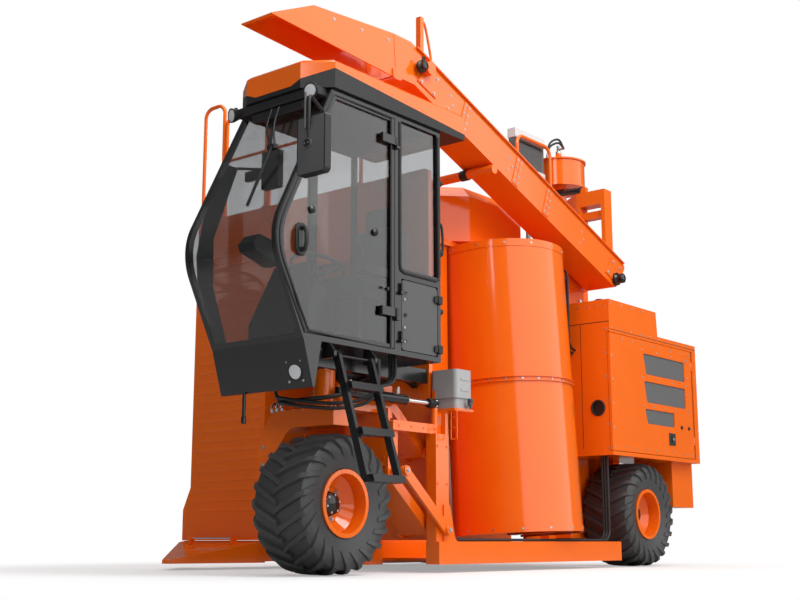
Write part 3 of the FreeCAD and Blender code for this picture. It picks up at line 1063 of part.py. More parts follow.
def lift_route(gap):
    """From the engine bay's front up and inwards to the housing's wall."""
    across, front = number(bay_inner) + 150 + gap, number("engine_front") - 95
    start, top = number("engine_foot") + 900 + gap, number("portal_top") - 460 + gap
    return [(across, number("engine_front"), start), (across, front, start), (across, front, top),
            (number("tunnel_width / 2 + inner_sheet"), front, top)]


hoses("steering_hoses", steering_route)
hoses("foot_hoses", foot_route)
hoses("lift_hoses", lift_route)


# ---------------------------------------------------------------- output

def check_and_write():
    doc.recompute()
    for item in doc.Objects:
        if "Invalid" in item.State or "Error" in item.State:
            raise SystemExit(f"{item.Name} ({item.Label}): {item.State}")
    for item in SUB_PARTS:
        if item.Shape.isNull() or not item.Shape.isValid():
            raise SystemExit(f"{item.Label}: bad shape")
    os.makedirs("parts", exist_ok=True)
    for item in SUB_PARTS:
        item.Shape.exportStep(f"parts/{item.Label}.step")
        box = item.Shape.BoundBox
        print(f"{item.Label:24s} solids {len(item.Shape.Solids):2d}  volume {item.Shape.Volume / 1e6:9.2f} l  "
              f"X {box.XMin:7.0f} {box.XMax:7.0f}  Y {box.YMin:7.0f} {box.YMax:7.0f}  Z {box.ZMin:7.0f} {box.ZMax:7.0f}")


check_and_write()
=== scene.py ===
"""Looks of the coffee harvester: finishes for the frame's pieces, and the fittings that they leave out."""
import json
import math

import bmesh
import bpy
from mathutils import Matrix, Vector


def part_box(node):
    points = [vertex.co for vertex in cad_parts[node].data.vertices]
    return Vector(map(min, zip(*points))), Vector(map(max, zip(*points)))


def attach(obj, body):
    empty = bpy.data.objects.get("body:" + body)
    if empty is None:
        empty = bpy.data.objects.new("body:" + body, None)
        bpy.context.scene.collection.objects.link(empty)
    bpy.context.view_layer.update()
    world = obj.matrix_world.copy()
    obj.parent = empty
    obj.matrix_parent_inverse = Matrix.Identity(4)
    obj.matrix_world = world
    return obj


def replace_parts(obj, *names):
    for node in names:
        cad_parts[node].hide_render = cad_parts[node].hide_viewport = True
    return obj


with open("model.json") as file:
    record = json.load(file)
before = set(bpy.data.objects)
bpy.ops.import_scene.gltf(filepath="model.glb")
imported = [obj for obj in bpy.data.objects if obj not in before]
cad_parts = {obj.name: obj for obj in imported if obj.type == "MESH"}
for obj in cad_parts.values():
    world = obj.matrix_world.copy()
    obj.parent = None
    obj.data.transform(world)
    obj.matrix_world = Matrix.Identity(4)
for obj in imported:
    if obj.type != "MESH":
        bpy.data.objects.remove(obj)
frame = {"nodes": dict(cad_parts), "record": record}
NODES = frame["nodes"]
scene = bpy.context.scene
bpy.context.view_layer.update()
X, Y, Z = Vector((1, 0, 0)), Vector((0, 1, 0)), Vector((0, 0, 1))


# ---------------------------------------------------------------- places taken from the frame

def middle(node):
    low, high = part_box(node)
    return (low + high) / 2


AXLE = middle("front_left_tyre")
HALF_TRACK = (AXLE.x - middle("rear_right_tyre").x) / 2


def at(across, along, up):
    """A point given from the tunnel's middle, the front axle and the ground, in metres."""
    return Vector((AXLE.x - HALF_TRACK + across, AXLE.y + along, up))


def spots(*triples):
    return [at(*triple) for triple in triples]


def swung(side, up, turn):
    """Direction at this angle from side towards up."""
    return side * math.cos(turn) + up * math.sin(turn)


# ---------------------------------------------------------------- node trees

def new_node(tree, kind, values=None, **settings):
    """A node with these settings, and with values on the inputs that are named or numbered."""
    node = tree.nodes.new(kind)
    for label, value in settings.items():
        setattr(node, label, value)
    for socket, value in (values or {}).items():
        node.inputs[socket].default_value = value
    return node


def join(tree, *links):
    """Links, each given as a node, its output, the next node and that one's input."""
    for source, output, target, entry in links:
        tree.links.new(source.outputs[output], target.inputs[entry])


def new_group(name, kind, inputs, outputs):
    """A node group; inputs and outputs give each socket's name with its kind and value."""
    tree = bpy.data.node_groups.new(name, kind)
    for label, (form, value) in inputs.items():
        socket = tree.interface.new_socket(label, in_out="INPUT", socket_type="NodeSocket" + form)
        if value is not None:
            socket.default_value = value
    for label, form in outputs.items():
        tree.interface.new_socket(label, in_out="OUTPUT", socket_type="NodeSocket" + form)
    return tree, new_node(tree, "NodeGroupInput"), new_node(tree, "NodeGroupOutput")


def path_ray(tree, *kinds):
    """Node whose value is 1 for rays of any of these kinds."""
    path = new_node(tree, "ShaderNodeLightPath")
    most = new_node(tree, "ShaderNodeMath", operation="MAXIMUM")
    for socket, kind in zip(most.inputs, kinds):
        tree.links.new(path.outputs[kind], socket)
    return most


def new_material(name):
    material = bpy.data.materials.new(name)
    material.use_nodes = True
    return material, material.node_tree, material.node_tree.nodes["Principled BSDF"]


# ---------------------------------------------------------------- stage

def look_from(place, pitch, yaw, lens):
    camera_data = bpy.data.cameras.new("camera")
    camera_data.lens = lens
    camera_data.sensor_width = 36
    camera = bpy.data.objects.new("camera", camera_data)
    scene.collection.objects.link(camera)
    camera.location = place
    camera.rotation_euler = (math.radians(90 + pitch), 0, math.radians(yaw))
    scene.camera = camera


def lamp(name, place, target, power, width, height):
    data = bpy.data.lights.new(name, "AREA")
    data.energy = power
    data.shape = "RECTANGLE"
    data.size, data.size_y = width, height
    lit = bpy.data.objects.new(name, data)
    scene.collection.objects.link(lit)
    lit.location = place
    lit.rotation_euler = (target - place).to_track_quat("-Z", "Y").to_euler()


def sky(bearing, half_wide, lowest, highest, dim, bright):
    """Dim light from all round and a wide bright wall on one side; the eye sees plain white."""
    world = bpy.data.worlds.new("studio")
    world.use_nodes = True
    tree = world.node_tree
    light = tree.nodes["Background"]
    light.inputs["Color"].default_value = (1, 1, 1, 1)
    ahead = (math.cos(math.radians(bearing)), math.sin(math.radians(bearing)), 0)
    place = new_node(tree, "ShaderNodeTexCoord")
    level = new_node(tree, "ShaderNodeVectorMath", {1: (1, 1, 0)}, operation="MULTIPLY")
    heading = new_node(tree, "ShaderNodeVectorMath", operation="NORMALIZE")
    towards = new_node(tree, "ShaderNodeVectorMath", {1: ahead}, operation="DOT_PRODUCT")
    parts = new_node(tree, "ShaderNodeSeparateXYZ")
    join(tree, (place, "Generated", level, 0), (level, "Vector", heading, 0), (heading, "Vector", towards, 0),
         (place, "Generated", parts, "Vector"))
    edge = math.cos(math.radians(half_wide))
    wall = None
    for source, output, start, stop in ((towards, "Value", edge - 0.02, edge + 0.02),
                                        (parts, "Z", lowest, lowest + 0.03),
                                        (parts, "Z", highest + 0.2, highest)):
        inside = new_node(tree, "ShaderNodeMapRange", {"From Min": start, "From Max": stop},
                          interpolation_type="SMOOTHSTEP")
        join(tree, (source, output, inside, "Value"))
        if wall is None:
            wall = inside
            continue
        both = new_node(tree, "ShaderNodeMath", operation="MULTIPLY")
        join(tree, (wall, 0, both, 0), (inside, 0, both, 1))
        wall = both
    strength = new_node(tree, "ShaderNodeMapRange", {"To Min": dim, "To Max": bright})
    white = new_node(tree, "ShaderNodeBackground", {"Color": (1, 1, 1, 1)})
    mixed = new_node(tree, "ShaderNodeMixShader")
    join(tree, (wall, 0, strength, "Value"), (strength, "Result", light, "Strength"),
         (path_ray(tree, "Is Camera Ray", "Is Transmission Ray"), 0, mixed, 0),
         (light, 0, mixed, 1), (white, 0, mixed, 2),
         (mixed, 0, tree.nodes["World Output"], "Surface"))
    scene.world = world


def floor(clear_from, clear_to, veil, reach=60):
    """Pale ground that takes the shadow near the machine and turns plain white farther out."""
    mesh = bpy.data.meshes.new("floor")
    corners = [(-reach, -reach, 0), (reach, -reach, 0), (reach, reach, 0), (-reach, reach, 0)]
    mesh.from_pydata(corners, [], [(0, 1, 2, 3)])
    ground = bpy.data.objects.new("floor", mesh)
    scene.collection.objects.link(ground)
    ground.location.z = -0.001
    paint, tree, pale = new_material("pale_floor")
    pale.inputs["Roughness"].default_value = 0.7
    pale.inputs["Specular IOR Level"].default_value = 0.1
    shade = new_node(tree, "ShaderNodeMix", {"A": (0.55, 0.55, 0.55, 1), "B": (0.95, 0.95, 0.95, 1)},
                     data_type="RGBA")
    white = new_node(tree, "ShaderNodeEmission")
    place = new_node(tree, "ShaderNodeTexCoord")
    far = new_node(tree, "ShaderNodeVectorMath", operation="LENGTH")
    fade = new_node(tree, "ShaderNodeMapRange", {"From Min": clear_from, "From Max": clear_to,
                                                 "To Min": veil},
                    interpolation_type="SMOOTHSTEP")
    seen = new_node(tree, "ShaderNodeMath", operation="MULTIPLY")
    mixed = new_node(tree, "ShaderNodeMixShader")
    by_eye = path_ray(tree, "Is Camera Ray", "Is Transmission Ray")
    join(tree, (by_eye, 0, shade, "Factor"), (shade, "Result", pale, "Base Color"),
         (place, "Object", far, 0), (far, "Value", fade, "Value"),
         (fade, "Result", seen, 0), (by_eye, 0, seen, 1),
         (seen, 0, mixed, 0), (pale, 0, mixed, 1), (white, 0, mixed, 2),
         (mixed, 0, tree.nodes["Material Output"], "Surface"))
    mesh.materials.append(paint)


look_from(at(6.806, -6.093, 0.219), pitch=11.125, yaw=39.449, lens=55.3)
sky(bearing=8, half_wide=49, lowest=0.02, highest=0.55, dim=0.14, bright=2.1)
floor(clear_from=2.6, clear_to=5.0, veil=0.34)
lamp("right_key", at(7.5, 0.5, 9.0), at(0.8, 2.4, 1.6), 540, 4.0, 4.0)
lamp("front_fill", at(4.0, -9.5, 7.0), at(0.0, 1.0, 1.6), 240, 4.0, 3.0)
lamp("top_sheet", at(0.5, 2.0, 9.5), at(0.5, 2.0, 0.0), 460, 7.0, 9.0)
lamp("rear_fill", at(-7.5, 9.0, 6.5), at(0.0, 2.2, 1.8), 330, 4.0, 4.0)
scene.view_settings.view_transform = "Standard"


# ---------------------------------------------------------------- finishes

def mottle_group():
    """Slow and fine unevenness of a surface: a mask between 0 and 1, and a height for bump."""
    tree, given, made = new_group("mottle", "ShaderNodeTree",
                                  {"Size": ("Float", 3.0), "Fine": ("Float", 140.0)},
                                  {"Mask": "Float", "Height": "Float"})
    place = new_node(tree, "ShaderNodeTexCoord")
    slow = new_node(tree, "ShaderNodeTexNoise", {"Detail": 5})
    fine = new_node(tree, "ShaderNodeTexNoise", {"Detail": 2})
    for noise, label, result in ((slow, "Size", "Mask"), (fine, "Fine", "Height")):
        join(tree, (place, "Object", noise, "Vector"), (given, label, noise, "Scale"),
             (noise, "Fac", made, result))
    return tree


MOTTLE = mottle_group()


def finish(name, colour, roughness, metallic=0.0, coat=0.0, specular=0.4, fine=160.0, bump=0.03, spread=0.05,
           uneven=0.06):
    """A surface whose colour, gloss and relief vary a little over it."""
    material, tree, surface = new_material(name)
    surface.inputs["Metallic"].default_value = metallic
    surface.inputs["Specular IOR Level"].default_value = specular
    surface.inputs["Coat Weight"].default_value = coat
    surface.inputs["Coat Roughness"].default_value = 0.05
    mottle = new_node(tree, "ShaderNodeGroup", {"Fine": fine}, node_tree=MOTTLE)
    shade = new_node(tree, "ShaderNodeMapRange", {"To Min": 1 - spread, "To Max": 1 + spread})
    tint = new_node(tree, "ShaderNodeVectorMath", {0: colour}, operation="SCALE")
    gloss = new_node(tree, "ShaderNodeMapRange",
                     {"To Min": max(roughness - uneven, 0.02), "To Max": roughness + uneven})
    relief = new_node(tree, "ShaderNodeBump", {"Strength": bump, "Distance": 0.002})
    join(tree, (mottle, "Mask", shade, "Value"), (shade, "Result", tint, "Scale"),
         (tint, "Vector", surface, "Base Color"), (mottle, "Mask", gloss, "Value"),
         (gloss, "Result", surface, "Roughness"), (mottle, "Height", relief, "Height"),
         (relief, "Normal", surface, "Normal"))
    return material


def clear_pane(name, tint):
    """Tinted glass: sight passes through the tint, and a mirror skin grows towards the edges."""
    material, tree, skin = new_material(name)
    skin.inputs["Base Color"].default_value = (1, 1, 1, 1)
    skin.inputs["Metallic"].default_value = 1
    skin.inputs["Roughness"].default_value = 0.02
    see = new_node(tree, "ShaderNodeBsdfTransparent", {"Color": (*tint, 1)})
    turned_away = new_node(tree, "ShaderNodeLayerWeight", {"Blend": 0.5})
    steep = new_node(tree, "ShaderNodeMath", {1: 4}, operation="POWER")
    mirrored = new_node(tree, "ShaderNodeMath", {1: 0.9, 2: 0.035}, operation="MULTIPLY_ADD")
    mixed = new_node(tree, "ShaderNodeMixShader")
    join(tree, (turned_away, "Facing", steep, 0), (steep, 0, mirrored, 0),
         (mirrored, 0, mixed, 0), (see, 0, mixed, 1),
         (skin, 0, mixed, 2), (mixed, 0, tree.nodes["Material Output"], "Surface"))
    return material


def mesh_sheet(name, pitch):
    """Dark sheet with rows of small round holes, drawn as a colour pattern on Object coordinates."""
    material = finish(name, (0.13, 0.13, 0.13), 0.5)
    tree = material.node_tree
    place = new_node(tree, "ShaderNodeTexCoord")
    cells = new_node(tree, "ShaderNodeTexVoronoi", {"Scale": 1 / pitch, "Randomness": 0})
    holes = new_node(tree, "ShaderNodeMapRange", {"From Min": 0.27, "From Max": 0.33})
    shade = new_node(tree, "ShaderNodeMix", {"A": (0.01, 0.01, 0.01, 1), "B": (0.105, 0.105, 0.105, 1)},
                     data_type="RGBA")
    join(tree, (place, "Object", cells, "Vector"), (cells, "Distance", holes, "Value"),
         (holes, "Result", shade, "Factor"),
         (shade, "Result", tree.nodes["Principled BSDF"], "Base Color"))
    return material


def glow(name, colour, strength):
    material = finish(name, colour, 0.08, coat=0.5)
    surface = material.node_tree.nodes["Principled BSDF"]
    surface.inputs["Emission Color"].default_value = (*colour, 1)
    surface.inputs["Emission Strength"].default_value = strength
    return material


ORANGE = finish("orange_enamel", (0.86, 0.142, 0.005), 0.12, specular=0.5, bump=0.015, uneven=0.03)
BLACK_ENAMEL = finish("black_enamel", (0.01, 0.01, 0.011), 0.2, specular=0.5, bump=0.02)
GREY_ENAMEL = finish("grey_enamel", (0.085, 0.086, 0.088), 0.42, bump=0.04)
BLACK_PLASTIC = finish("black_plastic", (0.016, 0.016, 0.017), 0.45, fine=420, bump=0.12)
TYRE_RUBBER = finish("tyre_rubber", (0.046, 0.046, 0.047), 0.46, fine=260, bump=0.1, spread=0.2)
BELT_RUBBER = finish("belt_rubber", (0.018, 0.018, 0.018), 0.5, fine=200, bump=0.08)
STEEL = finish("zinc_steel", (0.5, 0.5, 0.5), 0.3, metallic=0.8, fine=300, bump=0.05)
CHROME = finish("hard_chrome", (0.86, 0.86, 0.87), 0.08, metallic=1.0, bump=0.0, uneven=0.02)
FINS = finish("cooler_fins", (0.2, 0.205, 0.21), 0.45, metallic=0.6, fine=300, bump=0.1)
ALUMINIUM = finish("cast_aluminium", (0.62, 0.62, 0.62), 0.45, fine=300, bump=0.05)
MILKY_PLASTIC = finish("milky_plastic", (0.38, 0.38, 0.38), 0.34, fine=220, bump=0.05)
CLOTH = finish("seat_cloth", (0.022, 0.022, 0.024), 0.85, fine=900, bump=0.5)
MIRROR = finish("mirror_glass", (0.8, 0.8, 0.82), 0.03, metallic=1.0, bump=0.0, uneven=0.01)
LENS = glow("lamp_lens", (0.55, 0.56, 0.58), 0.05)
SCREEN = glow("dark_screen", (0.02, 0.025, 0.03), 0.1)
GRILLE = mesh_sheet("grille_sheet", 0.013)
PANE = clear_pane("tinted_pane", (0.74, 0.745, 0.75))

SLOT_FINISH = {
    "orange_paint": ORANGE, "grey_paint": BLACK_ENAMEL, "light_grey_paint": GREY_ENAMEL,
    "tyre_rubber": TYRE_RUBBER, "black_plastic": BLACK_PLASTIC, "white_plastic": MILKY_PLASTIC,
    "tinted_glass": PANE, "chrome_rod": CHROME, "raw_metal": FINS, "black_rubber": BELT_RUBBER,
    "seat_fabric": CLOTH,
}
SLOT_OF = {material.name: slot for slot, material in SLOT_FINISH.items()}
SLOT_OF.update({STEEL.name: "chrome_rod", MIRROR.name: "chrome_rod", LENS.name: "chrome_rod",
                SCREEN.name: "black_plastic", ALUMINIUM.name: "raw_metal", GRILLE.name: "grey_paint"})
for part in frame["record"]["subparts"]:
    node = NODES[part["node"]]
    node.data.materials.clear()
    node.data.materials.append(SLOT_FINISH[part["material_slot"]])
NODES["roof_rim"].data.materials[0] = BLACK_PLASTIC


# ---------------------------------------------------------------- shapes

class Fitting:
    """Small shapes gathered into one piece that rides on a body; spots are points in the frame, in metres."""

    def __init__(self, name, material, body="chassis"):
        self.name, self.body, self.material = name, body, material
        self.points, self.faces = [], []

    def add(self, points, faces):
        start = len(self.points)
        self.points.extend(points)
        self.faces.extend([tuple(index + start for index in face) for face in faces])

    def rings(self, loops, closed=False):
        """Skin over loops of equally many points, with flat ends unless the row of loops closes on itself."""
        count = len(loops[0])
        points = [point for loop in loops for point in loop]
        faces = []
        spans = len(loops) if closed else len(loops) - 1
        for span in range(spans):
            low, high = span * count, (span + 1) % len(loops) * count
            for side in range(count):
                turn = (side + 1) % count
                faces.append((low + side, low + turn, high + turn, high + side))
        if not closed:
            faces.append(tuple(range(count))[::-1])
            faces.append(tuple(range((len(loops) - 1) * count, len(loops) * count)))
        self.add(points, faces)

    def block(self, low, high):
        """Box between two opposite corners."""
        (left, front, foot), (right, back, top) = low, high
        outline = ((left, front), (right, front), (right, back), (left, back))
        self.rings([[Vector((*place, height)) for place in outline] for height in (foot, top)])

    def slab(self, corners, push):
        """Plate between a flat outline and the same outline moved by this much."""
        self.rings([corners, [corner + push for corner in corners]])

    def bar(self, start, end, radius, sides=16):
        along = (end - start).normalized()
        self.rings([around(centre, along, radius, sides) for centre in (start, end)])

    def turned(self, centre, axis, profile, sides=32):
        """Closed profile of (distance along the axis, radius) turned round it, the outline anticlockwise."""
        side = axis.orthogonal().normalized()
        up = axis.cross(side)
        loops = []
        for step in range(sides):
            out = swung(side, up, 2 * math.pi * step / sides)
            loops.append([centre + axis * along + out * radius for along, radius in profile])
        self.rings(loops, closed=True)

    def knob(self, centre, axis, profile, sides=24):
        """Solid turned from a profile of (distance along the axis, radius) that is closed on the axis."""
        self.turned(centre, axis, [(profile[0][0], 0), *profile, (profile[-1][0], 0)], sides)

    def hose(self, route, radius, sides=10, steps=6):
        """Round bar through the points of a smooth curve."""
        line = curve_through(route, steps)
        forward = (line[1] - line[0]).normalized()
        side = forward.orthogonal().normalized()
        loops = []
        for index, point in enumerate(line):
            ahead = (line[min(index + 1, len(line) - 1)] - line[max(index - 1, 0)]).normalized()
            side = (side - ahead * side.dot(ahead)).normalized()
            up = ahead.cross(side)
            loops.append([point + swung(side, up, turn) * radius
                          for turn in (2 * math.pi * step / sides for step in range(sides))])
        self.rings(loops)

    def done(self, bevel=0.0, smooth=True):
        mesh = bpy.data.meshes.new(self.name)
        mesh.from_pydata(self.points, [], self.faces)
        form = bmesh.new()
        form.from_mesh(mesh)
        bmesh.ops.remove_doubles(form, verts=form.verts, dist=0.00005)
        bmesh.ops.recalc_face_normals(form, faces=form.faces)
        form.to_mesh(mesh)
        form.free()
        mesh.materials.append(self.material)
        if smooth:
            mesh.shade_smooth()
            mesh.set_sharp_from_angle(angle=math.radians(35))
        piece = bpy.data.objects.new(self.name, mesh)
        scene.collection.objects.link(piece)
        if bevel:
            rounding = piece.modifiers.new("rounding", "BEVEL")
            rounding.width = bevel
            rounding.segments = 2
            rounding.limit_method = "ANGLE"
            rounding.angle_limit = math.radians(40)
            rounding.harden_normals = False
        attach(piece, self.body)
        return piece


def curve_through(route, steps):
    """Points of a smooth curve through the route's points."""
    ends = [route[0] * 2 - route[1], *route, route[-1] * 2 - route[-2]]
    line = []
    for first, second, third, fourth in zip(ends, ends[1:], ends[2:], ends[3:]):
        for step in range(steps):
            part = step / steps
            bend = 2 * first - 5 * second + 4 * third - fourth
            twist = 3 * second - first - 3 * third + fourth
            line.append(0.5 * (2 * second + (third - first) * part + bend * part * part + twist * part ** 3))
    line.append(route[-1])
    return line


def between(start, end, count):
    """Equally spaced points from start to end."""
    return [start.lerp(end, step / (count - 1)) for step in range(count)]


def around(centre, axis, radius, count, first=0.0):
    side = axis.orthogonal().normalized()
    up = axis.cross(side)
    angles = [first + 2 * math.pi * step / count for step in range(count)]
    return [centre + swung(side, up, turn) * radius for turn in angles]


# ---------------------------------------------------------------- bolts by Geometry Nodes

def bolt_tree():
    """Hexagon heads on washers at the points of a mesh, each turned along the point's own direction."""
    tree, given, made = new_group("bolt_heads", "GeometryNodeTree",
                                  {"Points": ("Geometry", None), "Head Radius": ("Float", 0.009),
                                   "Head Height": ("Float", 0.006), "Material": ("Material", None)},
                                  {"Bolts": "Geometry"})
    head = new_node(tree, "GeometryNodeMeshCylinder", {"Vertices": 6})
    washer = new_node(tree, "GeometryNodeMeshCylinder", {"Vertices": 12})
    wide = new_node(tree, "ShaderNodeMath", {1: 1.5}, operation="MULTIPLY")
    thin = new_node(tree, "ShaderNodeMath", {1: 0.4}, operation="MULTIPLY")
    half = new_node(tree, "ShaderNodeMath", {1: 0.5}, operation="MULTIPLY")
    lift = new_node(tree, "ShaderNodeCombineXYZ")
    raised = new_node(tree, "GeometryNodeTransform")
    both = new_node(tree, "GeometryNodeJoinGeometry")
    outward = new_node(tree, "GeometryNodeInputNamedAttribute", data_type="FLOAT_VECTOR")
    outward.inputs["Name"].default_value = "outward"
    turn = new_node(tree, "FunctionNodeAlignRotationToVector", axis="Z")
    copies = new_node(tree, "GeometryNodeInstanceOnPoints")
    real = new_node(tree, "GeometryNodeRealizeInstances")
    paint = new_node(tree, "GeometryNodeSetMaterial")
    join(tree, (given, "Head Radius", wide, 0), (given, "Head Height", thin, 0),
         (given, "Head Height", half, 0), (half, 0, lift, "Z"),
         (given, "Head Radius", head, "Radius"), (given, "Head Height", head, "Depth"),
         (wide, 0, washer, "Radius"), (thin, 0, washer, "Depth"),
         (head, "Mesh", raised, "Geometry"), (lift, "Vector", raised, "Translation"),
         (raised, "Geometry", both, "Geometry"), (washer, "Mesh", both, "Geometry"),
         (outward, "Attribute", turn, "Vector"), (given, "Points", copies, "Points"),
         (both, "Geometry", copies, "Instance"), (turn, "Rotation", copies, "Rotation"),
         (copies, "Instances", real, "Geometry"), (real, "Geometry", paint, "Geometry"),
         (given, "Material", paint, "Material"), (paint, "Geometry", made, "Bolts"))
    return tree


BOLTS = bolt_tree()


def bolts(name, body, rows, radius, height, material=STEEL):
    """Bolt heads of one size; rows is a list of (points, outward direction)."""
    places, outward = [], []
    for points, direction in rows:
        places.extend(points)
        outward.extend([direction] * len(points))
    mesh = bpy.data.meshes.new(name)
    mesh.from_pydata(places, [], [])
    field = mesh.attributes.new("outward", "FLOAT_VECTOR", "POINT")
    for item, direction in zip(field.data, outward):
        item.vector = direction
    source = bpy.data.objects.new(name + "_places", mesh)
    scene.collection.objects.link(source)
    modifier = source.modifiers.new("bolts", "NODES")
    modifier.node_group = BOLTS
    names = {item.name: item.identifier for item in BOLTS.interface.items_tree if item.in_out == "INPUT"}
    modifier[names["Head Radius"]] = radius
    modifier[names["Head Height"]] = height
    modifier[names["Material"]] = material
    grown = bpy.data.meshes.new_from_object(source.evaluated_get(bpy.context.evaluated_depsgraph_get()))
    bpy.data.objects.remove(source)
    piece = bpy.data.objects.new(name, grown)
    scene.collection.objects.link(piece)
    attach(piece, body)


# ---------------------------------------------------------------- wheels

TREAD_TOP, LUG_FOOT = 0.441, 0.46
CARCASS = [(0.197, 0.226), (0.206, 0.262), (0.226, 0.315), (0.233, 0.355), (0.228, 0.395), (0.206, 0.428),
           (0.15, 0.437), (0.07, TREAD_TOP)]


def tread_place(reach):
    """Point (across, radius) and outward direction on half of the carcass, from 0, its middle, to 1."""
    line = [(0.0, TREAD_TOP), *CARCASS[::-1]][:7]
    spot = reach * (len(line) - 1)
    step = min(int(spot), len(line) - 2)
    part = spot - step
    (x0, r0), (x1, r1) = line[step], line[step + 1]
    slope = Vector((r0 - r1, x1 - x0)).normalized()
    return x0 + (x1 - x0) * part, r0 + (r1 - r0) * part, slope


def tyre(node, body, out, pairs=22, lag=0.46, height=0.0235):
    """Round carcass with chevron lugs that run from the middle over the shoulders."""
    centre = middle(node)
    piece = Fitting(node + "_tread", TYRE_RUBBER, body)
    outline = CARCASS + [(-across, radius) for across, radius in CARCASS[::-1]]
    piece.turned(centre, X, outline, sides=72)
    steps = 9
    for side in (-1, 1):
        for lug in range(pairs):
            first = 2 * math.pi * (lug + (0.5 if side > 0 else 0)) / pairs
            loops = []
            for step in range(steps + 1):
                reach = step / steps
                across, radius, (lean, rise) = tread_place(reach)
                tall = height * (1 - 0.75 * max(reach - 0.55, 0) / 0.45)
                half = 0.017 + 0.011 * reach
                angle = first - lag * reach ** 0.85
                loop = []
                for wide, lift in ((-1.3, -0.012), (-0.85, tall), (0.85, tall), (1.3, -0.012)):
                    turn = angle + wide * half / LUG_FOOT
                    far = radius + rise * lift
                    place = X * side * (across + lean * lift - (0.012 if step == 0 else 0))
                    loop.append(centre + place + swung(Y, Z, turn) * far * out)
                loops.append(loop)
            piece.rings(loops)
    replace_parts(piece.done(), node)


def hub(node, body, out):
    """Flange, cap and nuts on the dish of a rim."""
    dish = 0.046
    face = middle(node) + X * out * dish
    flange = Fitting(node + "_hub", BLACK_ENAMEL, body)
    flange.turned(face, X * out, [(0, 0.067), (0, 0.084), (0.014, 0.081), (0.018, 0.074), (0.045, 0.07),
                                  (0.058, 0.045), (0.062, 0.004), (0.056, 0.004), (0.03, 0.064)], sides=36)
    flange.done()
    nuts = around(face + X * out * 0.001, X, 0.102, 6)
    bolts(node + "_nuts", body, [(nuts, X * out)], 0.0125, 0.021)
    screws = around(face + X * out * 0.05, X, 0.058, 6, 0.5)
    bolts(node + "_cap_bolts", body, [(screws, X * out)], 0.006, 0.005)


for corner, turn_side in (("front_left", 1), ("rear_left", 1), ("rear_right", -1)):
    tyre(corner + "_tyre", corner + "_wheel", turn_side)
    hub(corner + "_rim", corner + "_wheel", turn_side)


# ---------------------------------------------------------------- rotor shells

SHELL_RADIUS, SHELL_TALL, SHELL_LEAN = 0.565, 2.43, math.radians(3.2)


def shell_fittings(side, name):
    """Top band, bolted seams and in-turned edges on the curved cover round a rotor."""
    top = at(side * 0.745, 2.64, 2.7)
    axis = Vector((-side * math.sin(SHELL_LEAN), 0, math.cos(SHELL_LEAN)))
    outward = Vector((side * math.cos(SHELL_LEAN), 0, math.sin(SHELL_LEAN)))

    def on_shell(angle, height, proud=0.0):
        out = swung(outward, Y, angle)
        return top - axis * (SHELL_TALL - height) + out * (SHELL_RADIUS + proud), out

    def strip(first, turn, count, outline):
        """Skin of a (height, proud) outline carried round the shell, by angles in degrees."""
        trim.rings([[on_shell(math.radians(first + turn * step), height, out)[0] for height, out in outline]
                    for step in range(count)])

    trim = Fitting(f"{name}_shell_bands", ORANGE)
    for low, high in ((2.365, 2.425), (0, 0.055)):
        strip(-104, 5.2, 41, ((low, -0.003), (low, 0.005), (high, 0.005), (high, -0.003)))
    for first in (-120, 104):
        strip(first, 4, 5, ((0, -0.004), (0, 0), (SHELL_TALL, 0), (SHELL_TALL, -0.004)))
    trim.done()
    rows = []
    for height, turn in ((2.395, 24), (0.028, 24), (1.237, 14)):
        for step in range(int(200 / turn) + 1):
            spot, out = on_shell(math.radians(-98 + turn * step), height, 0.006)
            rows.append(([spot], out))
    bolts(f"{name}_shell_bolts", "chassis", rows, 0.0065, 0.004)


shell_fittings(1, "left")
shell_fittings(-1, "right")


# ---------------------------------------------------------------- front wall and frames

def wall_fittings():
    """Rows of bolts on the wall's edges, foot rails and posts, and ribs across the wall."""
    low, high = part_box("front_wall")
    front = 1.0995
    face = at(0, front, 0).y
    rows = [
        ([Vector((low.x + inset, face, 0.3)) for inset in (0.12, 0.3, 0.5, 0.7, 0.88)], -Y),
        (between(Vector((low.x + 0.12, face, 0.75)), Vector((low.x + 0.12, face, high.z - 0.1)), 9), -Y),
        (between(at(-0.62, front, 0.4), at(-0.62, front, high.z - 0.5), 8), -Y),
        (between(Vector((low.x + 0.25, face, high.z - 0.06)), at(1.1, front, high.z - 0.06), 14), -Y),
        (between(at(0.66, front, 0.5), at(0.66, front, 2.4), 8), -Y),
    ]
    bolts("wall_bolts", "chassis", rows, 0.006, 0.004, ORANGE)
    ribs = Fitting("wall_ribs", ORANGE)
    for step in range(28):
        up = 0.47 + 0.085 * step
        profile = ((up, 1.101), (up + 0.004, 1.0972), (up + 0.036, 1.101))
        ribs.rings([[at(across, along, height) for height, along in profile] for across in (-1.41, -0.63)])
    ribs.done(smooth=False)
    rails = [
        (between(at(1.2402, 1.25, 0.14), at(1.2402, 3.45, 0.14), 9), X),
        (between(at(-1.3602, 1.25, 0.14), at(-1.3602, 3.45, 0.14), 9), -X),
        *((between(at(1.3355, along, 0.36), at(1.3355, along, 0.9), 3), X) for along in (0.985, 1.095)),
    ]
    bolts("frame_bolts", "chassis", rails, 0.008, 0.006, ORANGE)


